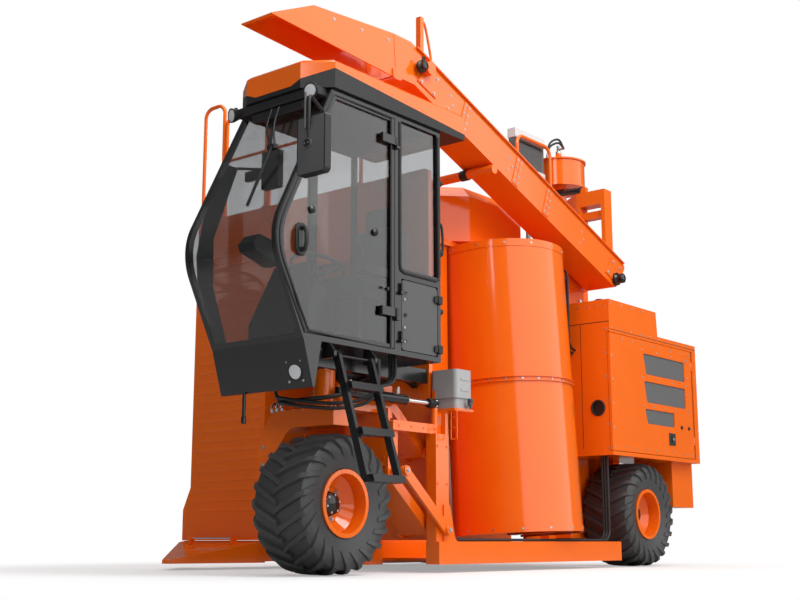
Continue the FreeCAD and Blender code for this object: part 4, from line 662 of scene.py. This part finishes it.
def divider_fittings():
    """Rolled lips on the front edges of the two row dividers."""
    lips = Fitting("divider_lips", ORANGE)
    lips.hose(spots((-1.55, 1.12, 0.075), (-1.18, 0.71, 0.075), (-0.81, 0.3, 0.07)), 0.016, steps=3)
    lips.hose(spots((-0.81, 0.3, 0.07), (-0.69, 0.71, 0.075), (-0.585, 1.12, 0.075)), 0.016, steps=3)
    lips.done()
    rod = Fitting("divider_rod", CHROME)
    rod.bar(at(-1.3, 0.985, 0.245), at(-0.8, 0.985, 0.245), 0.01)
    rod.done()
    feet = Fitting("divider_rod_feet", ORANGE)
    for across in (-1.32, -0.8):
        feet.block(at(across, 0.955, 0.2), at(across + 0.02, 1.015, 0.262))
    feet.done()


wall_fittings()
divider_fittings()


# ---------------------------------------------------------------- front wheel's leg

def leg_fittings():
    """Pin heads, bolts, hydraulic elbows and lines on the fork, carrier and arms."""
    heads = Fitting("leg_pin_heads", ORANGE)
    pins = [at(1.382, 1.055, 0.3), at(1.382, 0.577, 0.703), at(1.205, 1.055, 0.86)]
    for pin in pins:
        heads.bar(pin - X * 0.012, pin + X * 0.01, 0.034, sides=24)
    heads.done(bevel=0.003)
    bolts("leg_pin_bolts", "chassis", [([pin + X * 0.011 for pin in pins], X)], 0.012, 0.009)
    rows = [
        *((between(at(0.72, along, 1.1005), at(0.98, along, 1.1005), 4), Z) for along in (-0.06, 0.06)),
        (between(at(0.64, -0.0955, 0.5), at(0.64, -0.0955, 0.86), 4), -Y),
    ]
    bolts("fork_bolts", "steered_fork", rows, 0.01, 0.008)
    rows = [
        (around(at(1.125, 0, 1.3605), Z, 0.058, 6), Z),
        *((between(at(0.955, 0.5345, up), at(1.205, 0.5345, up), 4), -Y) for up in (1.06, 0.8)),
        (between(at(1.2905, 0.6, 1.025), at(1.2905, 1.02, 1.025), 4), X),
    ]
    bolts("carrier_bolts", "chassis", rows, 0.007, 0.005, ORANGE)
    elbows = Fitting("fork_elbows", CHROME, "steered_fork")
    for across in (0.66, 0.71, 0.76):
        elbows.hose(spots((across, -0.03, 1.1), (across, -0.03, 1.15), (across, 0.02, 1.168),
                          (across, 0.075, 1.168)), 0.011)
    elbows.done()
    ports = Fitting("cylinder_ports", STEEL, "cylinder_barrel")
    for along in (0.11, 0.62):
        ports.bar(at(1.265, along, 1.25), at(1.265, along, 1.285), 0.014, sides=6)
        ports.bar(at(1.265, along, 1.285), at(1.265, along, 1.3), 0.01)
    ports.bar(at(1.265, 0.69, 1.215), at(1.265, 0.712, 1.215), 0.033)
    ports.done()
    lines = Fitting("brake_lines", BELT_RUBBER)
    for shift in (0, 0.03):
        lines.hose(spots((0.93 + shift, 0.5, 1.1), (0.93 + shift, 0.42, 1.18),
                         (0.95 + shift, 0.5, 1.34), (1.00 + shift, 0.72, 1.42),
                         (1.02 + shift, 0.98, 1.4), (1.02 + shift, 1.1, 1.36)), 0.011)
    for lift in (0, 0.032):
        lines.hose(spots((0.8, -0.12, 1.155 + lift), (0.93, -0.22, 1.138 + lift),
                         (1.15, -0.235, 1.1 + lift), (1.36, -0.12, 1.082 + lift),
                         (1.46, 0.06, 1.13 + lift), (1.5, 0.12, 1.24 + lift), (1.5, 0.13, 1.42)), 0.013)
    lines.done()
    rods = Fitting("cab_under_rods", BLACK_ENAMEL)
    rods.bar(at(0.86, -0.49, 1.185), at(0.86, -0.49, 0.985), 0.012)
    rods.bar(at(0.86, -0.49, 1.03), at(0.86, -0.49, 0.98), 0.017)
    rods.block(at(1.18, -0.3, 1.445), at(1.36, -0.1, 1.478))
    rods.block(at(0.84, -0.36, 1.4), at(1.02, 0.16, 1.478))
    rods.done(bevel=0.004)
    boot = Fitting("rod_eye_boot", BLACK_PLASTIC, "cylinder_rod")
    boot.bar(at(1.265, 0.965, 1.215), at(1.265, 1.055, 1.215), 0.036, sides=20)
    boot.done(bevel=0.004)


def ladder_fittings():
    """Bolts that hold the treads to the ladder's sides."""
    lean = math.radians(17.4)
    down = Vector((math.sin(lean), 0, -math.cos(lean)))
    top = at(1.5, -0.296, 1.4)
    rows = []
    for tread in range(3):
        place = top + down * (0.205 + 0.312 * tread)
        for turn, edge in ((-Y, -0.0005), (Y, 0.3505)):
            rows.append(([place + Y * edge + X * shift for shift in (-0.012, 0.03)], turn))
    bolts("ladder_bolts", "fold_ladder", rows, 0.008, 0.005, BLACK_ENAMEL)


leg_fittings()
ladder_fittings()


# ---------------------------------------------------------------- cab, outside

def front_line(inset):
    """Points up the cab's front edge on its left side, this far behind the edge."""
    lower, upper = Vector((0, 0.896, 0.444)), Vector((0, 0.894, -0.447))
    line = [at(1.475, -0.565, 1.515) + lower * inset]
    for step in range(7):
        turn = math.radians(-26.4 + 8.8 * step)
        out = Vector((0, -math.cos(turn), math.sin(turn)))
        line.append(at(1.475, -0.4386, 2.1096) + out * (0.4 - inset))
    line.append(at(1.475, -0.345, 3.19) + upper * inset)
    return line


def door_fittings():
    """Rubber edges, knobs, handle, latches and screws of the door, the rear pane and the hatch below it."""
    rubber = Fitting("door_handle", BLACK_PLASTIC, "driver_door")
    rubber.rings([[at(x, y, z) for y, z in ((-0.655, 2.05), (-0.63, 2.015), (-0.585, 2.01), (-0.56, 2.04),
                                             (-0.56, 2.19), (-0.585, 2.225), (-0.63, 2.22), (-0.655, 2.19))]
                  for x in (1.461, 1.478)])
    rubber.hose(spots((1.476, -0.605, 2.045), (1.512, -0.605, 2.055), (1.522, -0.605, 2.115),
                      (1.512, -0.605, 2.18), (1.476, -0.605, 2.19)), 0.015)
    rubber.done(bevel=0.003)
    plate = Fitting("door_handle_plate", GREY_ENAMEL, "driver_door")
    plate.block(at(1.477, -0.632, 2.06), at(1.483, -0.58, 2.17))
    plate.done(bevel=0.002)
    knobs = Fitting("door_knobs", BLACK_ENAMEL, "driver_door")
    for along, up in ((-0.502, 2.335), (0.126, 2.305)):
        knobs.turned(at(1.461, along, up), X, [(0, 0), (0, 0.026), (0.01, 0.026), (0.018, 0.018),
                                               (0.022, 0)], sides=24)
        knobs.knob(at(1.448, along, up), X, [(0, 0.022), (0.007, 0.022)])
    knobs.done()
    rows = [([at(1.4715, along, up) for along in (0.2, 0.26) for up in (1.93, 3.0)], X)]
    bolts("door_bolts", "driver_door", rows, 0.008, 0.005, BLACK_ENAMEL)
    latches = Fitting("cab_latches", BLACK_PLASTIC)
    for along, up in ((0.852, 2.83), (0.852, 2.3), (0.852, 1.86)):
        profile = [(0, 0.012), (0.02, 0.022), (0.045, 0.024), (0.06, 0.012)]
        latches.knob(at(1.44, along, up), Y, profile, sides=20)
    for up in (1.93, 1.57):
        latches.block(at(1.476, 0.8, up - 0.03), at(1.497, 0.848, up + 0.03))
    latches.hose(spots((1.43, 0.856, 2.52), (1.45, 0.9, 2.5), (1.45, 0.905, 2.3), (1.43, 0.856, 2.27)),
                 0.01)
    latches.done(bevel=0.003)
    gasket = Fitting("rear_pane_gasket", BELT_RUBBER)
    gasket.hose([at(1.474, along, up) for along, up in ((0.384, 3.165), (0.384, 2.13), (0.392, 2.085),
                                                        (0.43, 2.07), (0.79, 2.07), (0.825, 2.085),
                                                        (0.833, 2.12), (0.833, 3.165))], 0.013, steps=1)
    gasket.done()
    post = Fitting("front_edge_gasket", BELT_RUBBER)
    post.hose(front_line(0.008), 0.01, steps=1)
    post.done()
    edge = Fitting("door_gasket", BELT_RUBBER, "driver_door")
    edge.hose([*front_line(0.04), at(1.475, 0.286, 3.165), at(1.475, 0.286, 1.515), front_line(0.04)[0]],
              0.008, sides=8, steps=1)
    edge.done()
    lock = Fitting("hatch_lock", BLACK_PLASTIC, "side_hatch")
    lock.knob(at(1.4805, 0.441, 1.771), X, [(0, 0.013), (0.005, 0.013)], sides=20)
    for up in (1.93, 1.57):
        lock.block(at(1.4815, 0.765, up - 0.022), at(1.49, 0.798, up + 0.022))
    lock.done()
    screws = [at(1.481, 0.43, up) for up in (1.58, 1.68, 1.88, 1.96)]
    bolts("hatch_screws", "side_hatch", [(screws, X)], 0.006, 0.004)


def round_lamp(name, place, out, radius, depth):
    """Round work lamp: a dished lens in a dark cup."""
    cup = Fitting(name + "_cup", BLACK_PLASTIC)
    cup.turned(place, out, [(-depth, 0), (-depth, radius * 0.55), (-depth * 0.3, radius * 0.95), (0, radius),
                            (0, radius * 0.86), (-0.008, radius * 0.84), (-0.008, 0)], sides=28)
    cup.done()
    lens = Fitting(name + "_lens", LENS)
    lens.turned(place, out, [(-0.007, 0), (-0.007, radius * 0.83), (-0.001, radius * 0.8), (0.006, 0)],
                sides=28)
    lens.done()


def cab_front():
    """Fascia, work lamps, wipers and headlamp of the cab's front."""
    fascia = Fitting("roof_fascia", BLACK_PLASTIC)
    fascia.block(at(0.66, -0.452, 3.15), at(1.44, -0.34, 3.214))
    fascia.block(at(0.8, -0.43, 3.085), at(1.3, -0.372, 3.15))
    fascia.done(bevel=0.01)
    for side, across, up, turn in (("left", 1.43, 3.16, 0.25), ("right", 0.668, 3.155, -0.25)):
        ahead = Vector((turn, -0.95, -0.15)).normalized()
        round_lamp("work_lamp_" + side, at(across, -0.5, up), ahead, 0.052, 0.06)
    stalks = Fitting("lamp_stalks", BLACK_ENAMEL)
    for across in (0.668, 1.43):
        stalks.bar(at(across, -0.455, 3.17), at(across, -0.455, 3.222), 0.012)
    stalks.done()
    wipers = Fitting("wiper", BLACK_ENAMEL)
    for across in (1.03, 1.1):
        wipers.hose(spots((across, -0.455, 3.13), (across + 0.03, -0.53, 2.97),
                          (across * 0.6 + 0.55, -0.6, 2.79)), 0.008)
    wipers.block(at(1.16, -0.625, 2.77), at(1.23, -0.585, 2.805))
    wipers.hose(spots((1.2, -0.615, 2.79), (1.17, -0.69, 2.58), (1.135, -0.765, 2.36)), 0.011)
    wipers.done(bevel=0.003)
    ahead = Vector((0, -1, -0.25)).normalized()
    round_lamp("headlamp", at(1.345, -0.514, 1.285), ahead, 0.064, 0.03)
    corners = [at(1.345 + x, -0.512 - z * 0.25, 1.285 + z) for x in (-0.062, 0.062) for z in (-0.062, 0.062)]
    bolts("headlamp_bolts", "chassis", [(corners, ahead)], 0.006, 0.004)


def mirror_fittings():
    """Raised facets on the mirror's back, its clamp, and the glass on its face."""
    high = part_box("left_mirror")[1]
    centre = at(1.74, -0.829, 2.64)
    back, half_wide, half_tall = at(0, -0.8075, 0).y, 0.112, 0.183

    def on_back(x, depth, z):
        return Vector((centre.x + x, back + depth, centre.z + z))

    signs = ((-1, -1), (1, -1), (1, 1), (-1, 1))
    shell = Fitting("mirror_back", GREY_ENAMEL)
    shell.rings([[on_back(half_wide * x, 0, half_tall * z) for x, z in signs],
                 [on_back(0.03 * x, -0.028, 0.07 * z) for x, z in signs]])
    shell.bar(on_back(0, -0.038, 0), on_back(0, -0.02, 0), 0.034, sides=24)
    shell.bar(on_back(-0.022, -0.032, 0.1), on_back(-0.022, -0.032, high.z - centre.z), 0.008)
    shell.done(bevel=0.002)
    bolts("mirror_bolts", "chassis", [([on_back(x, -0.0385, 0) for x in (-0.016, 0.016)], -Y)], 0.005, 0.004)
    glass = Fitting("mirror_face", MIRROR)
    glass.block(on_back(-0.105, 0.055, -0.175), on_back(0.105, 0.059, 0.175))
    glass.done()


door_fittings()
cab_front()
mirror_fittings()


# ---------------------------------------------------------------- cab, inside

def crowned(piece, low, high, roundness=0.45, swell=1.15, cuts=7):
    """Closed cushion form: a block whose faces bulge and whose corners are drawn in."""
    centre, half = (low + high) / 2, (high - low) / 2
    for axis in range(3):
        for sign in (-1, 1):
            points = []
            for row in range(cuts + 1):
                for column in range(cuts + 1):
                    spot = [0.0, 0.0, 0.0]
                    spot[axis] = sign
                    spot[(axis + 1) % 3] = -1 + 2 * row / cuts
                    spot[(axis + 2) % 3] = -1 + 2 * column / cuts
                    flat = Vector(spot)
                    form = flat.lerp(flat.normalized() * swell, roundness)
                    points.append(centre + Vector(form[i] * half[i] for i in range(3)))
            wide = cuts + 1
            firsts = [row * wide + column for row in range(cuts) for column in range(cuts)]
            piece.add(points, [(first, first + wide, first + wide + 1, first + 1) for first in firsts])


def driver_seat():
    low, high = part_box("driver_seat")
    seat = Fitting("driver_seat_cushions", CLOTH)
    for inset, front, rear, foot, top in (
            (0.005, low.y + 0.005, low.y + 0.46, low.z + 0.002, low.z + 0.15),
            (0.01, high.y - 0.19, high.y - 0.05, low.z + 0.13, high.z - 0.17),
            (0.1, high.y - 0.14, high.y - 0.03, high.z - 0.18, high.z - 0.005)):
        crowned(seat, Vector((low.x + inset, front, foot)), Vector((high.x - inset, rear, top)))
    cushions = seat.done()
    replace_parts(cushions, "driver_seat")


def cab_inside():
    """Monitor, levers, pedals and lining that show through the glass."""
    dark = Fitting("cab_controls", BLACK_PLASTIC)
    dark.block(at(0.91, -0.43, 2.585), at(1.07, -0.375, 2.85))
    dark.bar(at(0.96, -0.4, 2.84), at(0.94, -0.36, 3.16), 0.012)
    dark.bar(at(0.655, -0.42, 2.79), at(0.92, -0.4, 2.735), 0.01)
    dark.block(at(0.74, -0.425, 2.675), at(0.885, -0.39, 2.745))
    band = [(-0.49, 2.8), (-0.7, 2.389), (-0.755, 2.1), (-0.725, 1.8), (-0.6, 1.53),
            (-0.46, 1.53), (-0.6, 1.908), (-0.61, 2.245), (-0.508, 2.513), (-0.4, 2.8)]
    dark.rings([[at(across, along, up) for along, up in band] for across in (0.64, 0.65)])
    apron = [(0.845, 1.53), (0.845, 1.645), (1.085, 2.01), (1.4, 2.01), (1.4, 1.53)]
    dark.rings([[at(across, along, up) for across, up in apron] for along in (-0.455, -0.447)])
    pod = [(-0.66, 2.15), (-0.6, 2.215), (-0.37, 2.17), (-0.355, 2.045), (-0.42, 2.035), (-0.64, 2.1)]
    dark.rings([[at(across, along, up) for along, up in pod] for across in (0.94, 1.09)])
    dark.block(at(1.245, 0.18, 2.06), at(1.325, 0.52, 2.12))
    dark.hose(spots((1.285, 0.22, 2.12), (1.285, 0.2, 2.2), (1.285, 0.16, 2.27)), 0.014)
    dark.bar(at(1.285, 0.165, 2.25), at(1.285, 0.145, 2.33), 0.024)
    dark.block(at(1.3, 0.6, 1.516), at(1.38, 0.66, 2.04))
    dark.block(at(0.68, 0.1, 1.516), at(0.8, 0.6, 2.02))
    dark.block(at(0.67, -0.29, 3.155), at(1.43, 0.78, 3.178))
    for across in (0.9, 1.2):
        dark.hose(spots((across, -0.36, 1.52), (across, -0.4, 1.6), (across, -0.36, 1.68)), 0.012)
        dark.block(at(across - 0.04, -0.385, 1.67), at(across + 0.04, -0.35, 1.74))
    dark.done(bevel=0.006)
    grey = Fitting("cab_panels", GREY_ENAMEL)
    grey.block(at(0.66, -0.3, 1.516), at(1.44, 0.8, 1.526))
    grey.done()
    screen = Fitting("monitor_screen", SCREEN)
    screen.block(at(0.93, -0.375, 2.61), at(1.05, -0.371, 2.83))
    screen.done()
    spokes = Fitting("steering_spokes", BLACK_PLASTIC)
    low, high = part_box("steering_wheel")
    centre, normal = (low + high) / 2, Vector((0, -math.sin(math.radians(18)), math.cos(math.radians(18))))
    hub_place = centre - normal * 0.02
    for spot in around(hub_place, normal, 0.175, 3, 0.5):
        spokes.bar(hub_place, spot + normal * 0.015, 0.012)
    spokes.bar(hub_place - normal * 0.02, hub_place + normal * 0.02, 0.045, sides=24)
    spokes.done()


driver_seat()
cab_inside()


# ---------------------------------------------------------------- engine bay

# foot, top and rear end of each opening in the door, from the door's foot and rear edge
OPENINGS = ((0.73, 0.92, 0.14), (0.47, 0.665, 0.14), (0.275, 0.41, 0.385))


def engine_fittings():
    """Perforated inserts, bolts, latch and small openings of the engine bay's walls."""
    low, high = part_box("engine_side_door")
    face, rear, foot = high.x - 0.001, high.y - 0.029, low.z
    inserts = Fitting("engine_grilles", GRILLE, "engine_door")
    for bottom, top, stop in OPENINGS:
        inserts.block((face - 0.014, rear - 0.965, foot + bottom - 0.01),
                      (face - 0.01, rear - stop + 0.01, foot + top + 0.01))
    inserts.done()
    latch = Fitting("engine_latch", BLACK_PLASTIC, "engine_door")
    latch.block((face, rear - 0.512, foot + 0.103), (face + 0.006, rear - 0.388, foot + 0.217))
    latch.block((face + 0.006, rear - 0.47, foot + 0.13), (face + 0.014, rear - 0.43, foot + 0.19))
    latch.done(bevel=0.003)
    pull = Fitting("engine_latch_pull", STEEL, "engine_door")
    pull.bar(Vector((face + 0.013, rear - 0.45, foot + 0.16)),
             Vector((face + 0.017, rear - 0.45, foot + 0.16)), 0.012)
    pull.done()

    def on_side(start, stop, count):
        """A row on the bay's left face between two places (along, up)."""
        return between(Vector((face, *start)), Vector((face, *stop)), count), X

    edge = 0.035
    rows = [
        on_side((low.y + edge, foot + edge), (rear - edge, foot + edge), 9),
        on_side((low.y + edge, high.z - edge), (rear - edge, high.z - edge), 9),
        on_side((low.y + edge, foot + 0.2), (low.y + edge, high.z - 0.2), 4),
    ]
    for _, top, stop in OPENINGS:
        rows.append(on_side((rear - 0.98, foot + top + 0.03), (rear - stop + 0.02, foot + top + 0.03), 4))
    rows.append(on_side((rear - 0.09, foot + 0.28), (rear - 0.09, foot + 0.94), 5))
    bolts("engine_door_bolts", "engine_door", rows, 0.006, 0.004)
    low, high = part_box("engine_box")
    hood = high.z
    front = low.y - 0.0005
    rows = [
        on_side((low.y + 0.04, hood - 0.03), (low.y + 0.82, hood - 0.03), 5),
        on_side((low.y + 0.04, hood - 0.25), (high.y - 0.06, hood - 0.255), 10),
        on_side((high.y - 0.05, 1.02), (high.y - 0.05, 2.05), 5),
        (between(Vector((low.x + 0.05, front, 1.02)), Vector((low.x + 0.05, front, 2.28)), 6), -Y),
        (between(Vector((face - 0.04, front, 1.02)), Vector((face - 0.04, front, 2.28)), 7), -Y),
        (between(Vector((low.x + 0.15, front, 2.29)), Vector((face - 0.12, front, 2.29)), 4), -Y),
    ]
    bolts("engine_box_bolts", "chassis", rows, 0.006, 0.004)
    seams = Fitting("engine_seams", BLACK_PLASTIC)
    seams.block((face - 0.004, low.y + 0.002, hood - 0.272), (face + 0.0012, high.y - 0.022, hood - 0.268))
    seams.block((low.x + 0.01, low.y - 0.0012, 2.136), (face - 0.002, low.y + 0.002, 2.142))
    seam, intake = at(1.13, 0, 0).x, Vector((at(1.29, 0, 0).x, low.y, 1.375))
    seams.block((seam - 0.002, low.y - 0.0012, 1.02), (seam + 0.002, low.y + 0.002, 2.136))
    seams.turned(intake, -Y, [(-0.004, 0.054), (-0.004, 0.07), (0.006, 0.072), (0.01, 0.064),
                              (0.006, 0.054)], sides=36)
    seams.knob(intake, Y, [(0.014, 0.064), (0.018, 0.064)], sides=36)
    for along, up in ((4.67, 1.285), (4.82, 1.285)):
        spot = Vector((face, at(0, along, 0).y, up))
        seams.turned(spot, X, [(0, 0), (0, 0.016), (0.012, 0.014), (0.016, 0)], sides=18)
    seams.knob(at(1.24, 3.52, hood), Z, [(0, 0.045), (0.03, 0.045), (0.04, 0.03)])
    seams.done()
    cap = Fitting("hood_fitting", STEEL)
    cap.knob(at(1.05, 3.5, hood), Z, [(0, 0.018), (0.05, 0.018), (0.06, 0.01)], sides=18)
    cap.done()
    low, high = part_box("hydraulic_tank")
    cap = Fitting("tank_cap", BLACK_PLASTIC)
    cap.turned(Vector((high.x - 0.15, low.y + 0.25, high.z)), Z,
               [(0, 0), (0, 0.062), (0.018, 0.058), (0.018, 0)], sides=28)
    cap.done()


def canister_fittings():
    """Strap, ribs and tap of the water canister."""
    low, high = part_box("canister")
    top, foot, out = high.z, low.z, at(1.425, 0, 0).x
    strap = Fitting("canister_strap", ORANGE)
    strap.block((low.x - 0.004, low.y - 0.004, foot - 0.014), (out + 0.004, high.y + 0.004, foot - 0.0005))
    strap.block((low.x + 0.02, low.y - 0.004, foot), (low.x + 0.05, low.y - 0.0005, top - 0.15))
    for across in (1.365, 1.418):
        strap.block(at(across, 1.1, 0.95), at(across + 0.008, 1.106, foot - 0.01))
    for up in (0.95, 1.035, 1.11):
        strap.block(at(1.365, 1.1, up), at(1.426, 1.106, up + 0.008))
    strap.done(bevel=0.001)
    tap = Fitting("canister_tap", GREY_ENAMEL)
    spot = Vector((out + 0.012, high.y - 0.07, foot + 0.042))
    tap.bar(spot, spot + X * 0.03, 0.018)
    tap.bar(spot + X * 0.02, spot + X * 0.02 - Z * 0.04, 0.01)
    tap.bar(spot + X * 0.02 + Z * 0.014, spot + X * 0.02 + Z * 0.034, 0.022)
    tap.done(bevel=0.002)
    ribs = Fitting("canister_ribs", MILKY_PLASTIC)
    for up in (0.13, 0.21):
        ribs.block((out - 0.001, low.y + 0.05, foot + up), (out + 0.004, high.y - 0.05, foot + up + 0.02))
    ribs.done(bevel=0.0015)


engine_fittings()
canister_fittings()


# ---------------------------------------------------------------- conveyor

SLOPE = math.radians(20.43)


def on_trough(run, rise, across=1.225):
    """A point of the sloping stretch: run down from the bend, rise square to the bottom."""
    return (at(across, 0.86, 3.655) + (Y * math.cos(SLOPE) - Z * math.sin(SLOPE)) * run
            + (Y * math.sin(SLOPE) + Z * math.cos(SLOPE)) * rise)


def conveyor_fittings():
    """Joint plates, bolts, motor and stays of the sloping conveyor."""
    plates = Fitting("conveyor_plates", ORANGE, "conveyor")
    rows = []
    for run in (0.64, 1.43, 1.92):
        for near, far in ((run - 0.045, run - 0.003), (run + 0.003, run + 0.045)):
            outline = ((near, 0.012), (far, 0.012), (far, 0.27), (near, 0.27))
            corners = [on_trough(place, height) for place, height in outline]
            plates.slab(corners, X * 0.007)
            plates.slab([corner - X * 0.3 for corner in corners], -X * 0.007)
            middle_run = (near + far) / 2
            for across, out in ((1.225, X), (0.925, -X)):
                heads = [on_trough(middle_run, rise, across) + out * 0.0075
                         for rise in (0.04, 0.1, 0.17, 0.24)]
                rows.append((heads, out))
    plates.done()
    for run in (0.42, 1.3, 2.5):
        places = ((0, 0.2), (0.05, 0.14), (0, 0.08))
        rows.append(([on_trough(run + gap, rise) + X * 0.0005 for gap, rise in places], X))
    bolts("conveyor_bolts", "conveyor", rows, 0.007, 0.005)
    motor = Fitting("conveyor_motors", BLACK_ENAMEL, "conveyor")
    head = at(1.255, 0.9, 3.8)
    motor.knob(head, X, [(0, 0.05), (0.018, 0.05), (0.03, 0.036), (0.055, 0.034), (0.06, 0.02)], sides=32)
    motor.bar(head + X * 0.03 + Z * 0.03, head + X * 0.03 + Z * 0.075, 0.014, sides=6)
    tail = on_trough(3.16, 0.075)
    motor.knob(tail, X, [(0, 0.06), (0.03, 0.06), (0.045, 0.045), (0.09, 0.045), (0.1, 0.03)], sides=32)
    motor.done()
    bracket = Fitting("motor_brackets", ORANGE, "conveyor")
    for run, far in ((0.02, 0.26), (2.98, 3.22)):
        outline = ((run, 0.05), (far, 0.05), (far, 0.23), (run + 0.06, 0.23))
        corners = [on_trough(place, height) for place, height in outline]
        bracket.slab(corners, X * 0.01)
    bracket.hose([at(1.2025, along, up) for along, up in ((0.96, 4.19), (0.99, 4.222), (1.03, 4.18),
                                                          (1.08, 4.02), (1.1, 3.93))], 0.01)
    bracket.done(bevel=0.002)
    corners = ((0.06, 0.07), (0.22, 0.07), (0.22, 0.21), (0.1, 0.21),
               (3.01, 0.07), (3.19, 0.07), (3.19, 0.21), (3.07, 0.21))
    rows = [([on_trough(run, rise) + X * 0.0105 for run, rise in corners], X)]
    bolts("bracket_bolts", "conveyor", rows, 0.01, 0.007)
    rows = [([at(1.2255, y, 3.655 + z) for y, z in ((0.55, 0.26), (0.25, 0.24), (-0.05, 0.22))], X)]
    bolts("spout_bolts", "conveyor_spout", rows, 0.008, 0.005)
    slewing = Fitting("slewing_cylinder", BLACK_ENAMEL, "conveyor")
    slewing.bar(at(0.6, 3.905, 3.585), at(0.98, 3.715, 3.5), 0.036)
    slewing.bar(at(0.56, 3.925, 3.594), at(0.6, 3.905, 3.585), 0.022)
    slewing.done()
    eyes = Fitting("slewing_lugs", ORANGE, "conveyor")
    eyes.block(at(0.955, 3.7, 3.44), at(1.03, 3.745, 3.52))
    eyes.done(bevel=0.003)


def saddle_fittings():
    """Cradle on the rest's end that the parked conveyor lies over."""
    low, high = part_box("conveyor_rest")
    saddle = Fitting("rest_saddle", BLACK_PLASTIC)
    along = (low.y + high.y) / 2
    saddle.bar(Vector((high.x - 0.335, along, high.z - 0.04)), Vector((high.x - 0.265, along, high.z - 0.04)),
               0.045, sides=24)
    saddle.done()
    foot = Vector((low.x + 0.08, along, 2.7665))
    bolts("rest_bolts", "chassis", [(around(foot, Z, 0.062, 6), Z)], 0.008, 0.006)


def deck_fittings():
    """Cooler core and tank, rotary fitting on the slew drum, and the railing's feet."""
    low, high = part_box("oil_cooler")
    foot = low.z + 0.95
    core = Fitting("cooler_core", FINS)
    for place in between(Vector((low.x, low.y + 0.04, foot)), Vector((low.x, high.y - 0.04, foot)), 30):
        core.block((low.x - 0.003, place.y - 0.003, foot + 0.05),
                   (high.x + 0.003, place.y + 0.003, high.z - 0.075))
    core.done()
    tanks = Fitting("cooler_tanks", ALUMINIUM)
    tanks.block((low.x - 0.012, low.y - 0.005, high.z - 0.04),
                (high.x + 0.012, high.y + 0.005, high.z + 0.055))
    tanks.block((low.x - 0.012, low.y - 0.005, foot), (high.x + 0.012, high.y + 0.005, foot + 0.05))
    tanks.done(bevel=0.004)
    drum = at(0.5, 4.08, 3.94)
    rotary = Fitting("rotary_fitting", STEEL)
    rotary.knob(drum, Z, [(0.108, 0.03), (0.13, 0.03), (0.135, 0.018), (0.19, 0.018), (0.2, 0.01)], sides=32)
    rotary.bar(drum + Z * 0.155, drum + Z * 0.155 + X * 0.07, 0.012)
    rotary.done()
    loop = Fitting("rotary_hoses", BELT_RUBBER)
    for shift in (0, 0.035):
        loop.hose([drum + X * 0.065 + Z * 0.155, drum + X * 0.06 - Y * 0.09 + Z * (0.19 + shift),
                   drum + X * 0.02 - Y * 0.19 + Z * (0.13 + shift), drum - Y * 0.215 + Z * 0.004], 0.011)
    loop.done()
    rows = [(around(drum + Z * 0.0005, Z, 0.225, 10), Z), (around(drum - Z * 1.17, Z, 0.115, 8), Z)]
    bolts("drum_bolts", "chassis", rows, 0.009, 0.006)
    feet = Fitting("railing_feet", ORANGE)
    for across in (-1.445, -1.19, -1.15, -0.64, -0.6, -0.09, -0.05, 0.46):
        spot = at(across, 1.12, 3.06)
        feet.block(spot - Vector((0.019, 0.0345, 0.001)), spot + Vector((0.019, 0.0345, 0.014)))
    feet.done(bevel=0.001)


conveyor_fittings()
saddle_fittings()
deck_fittings()
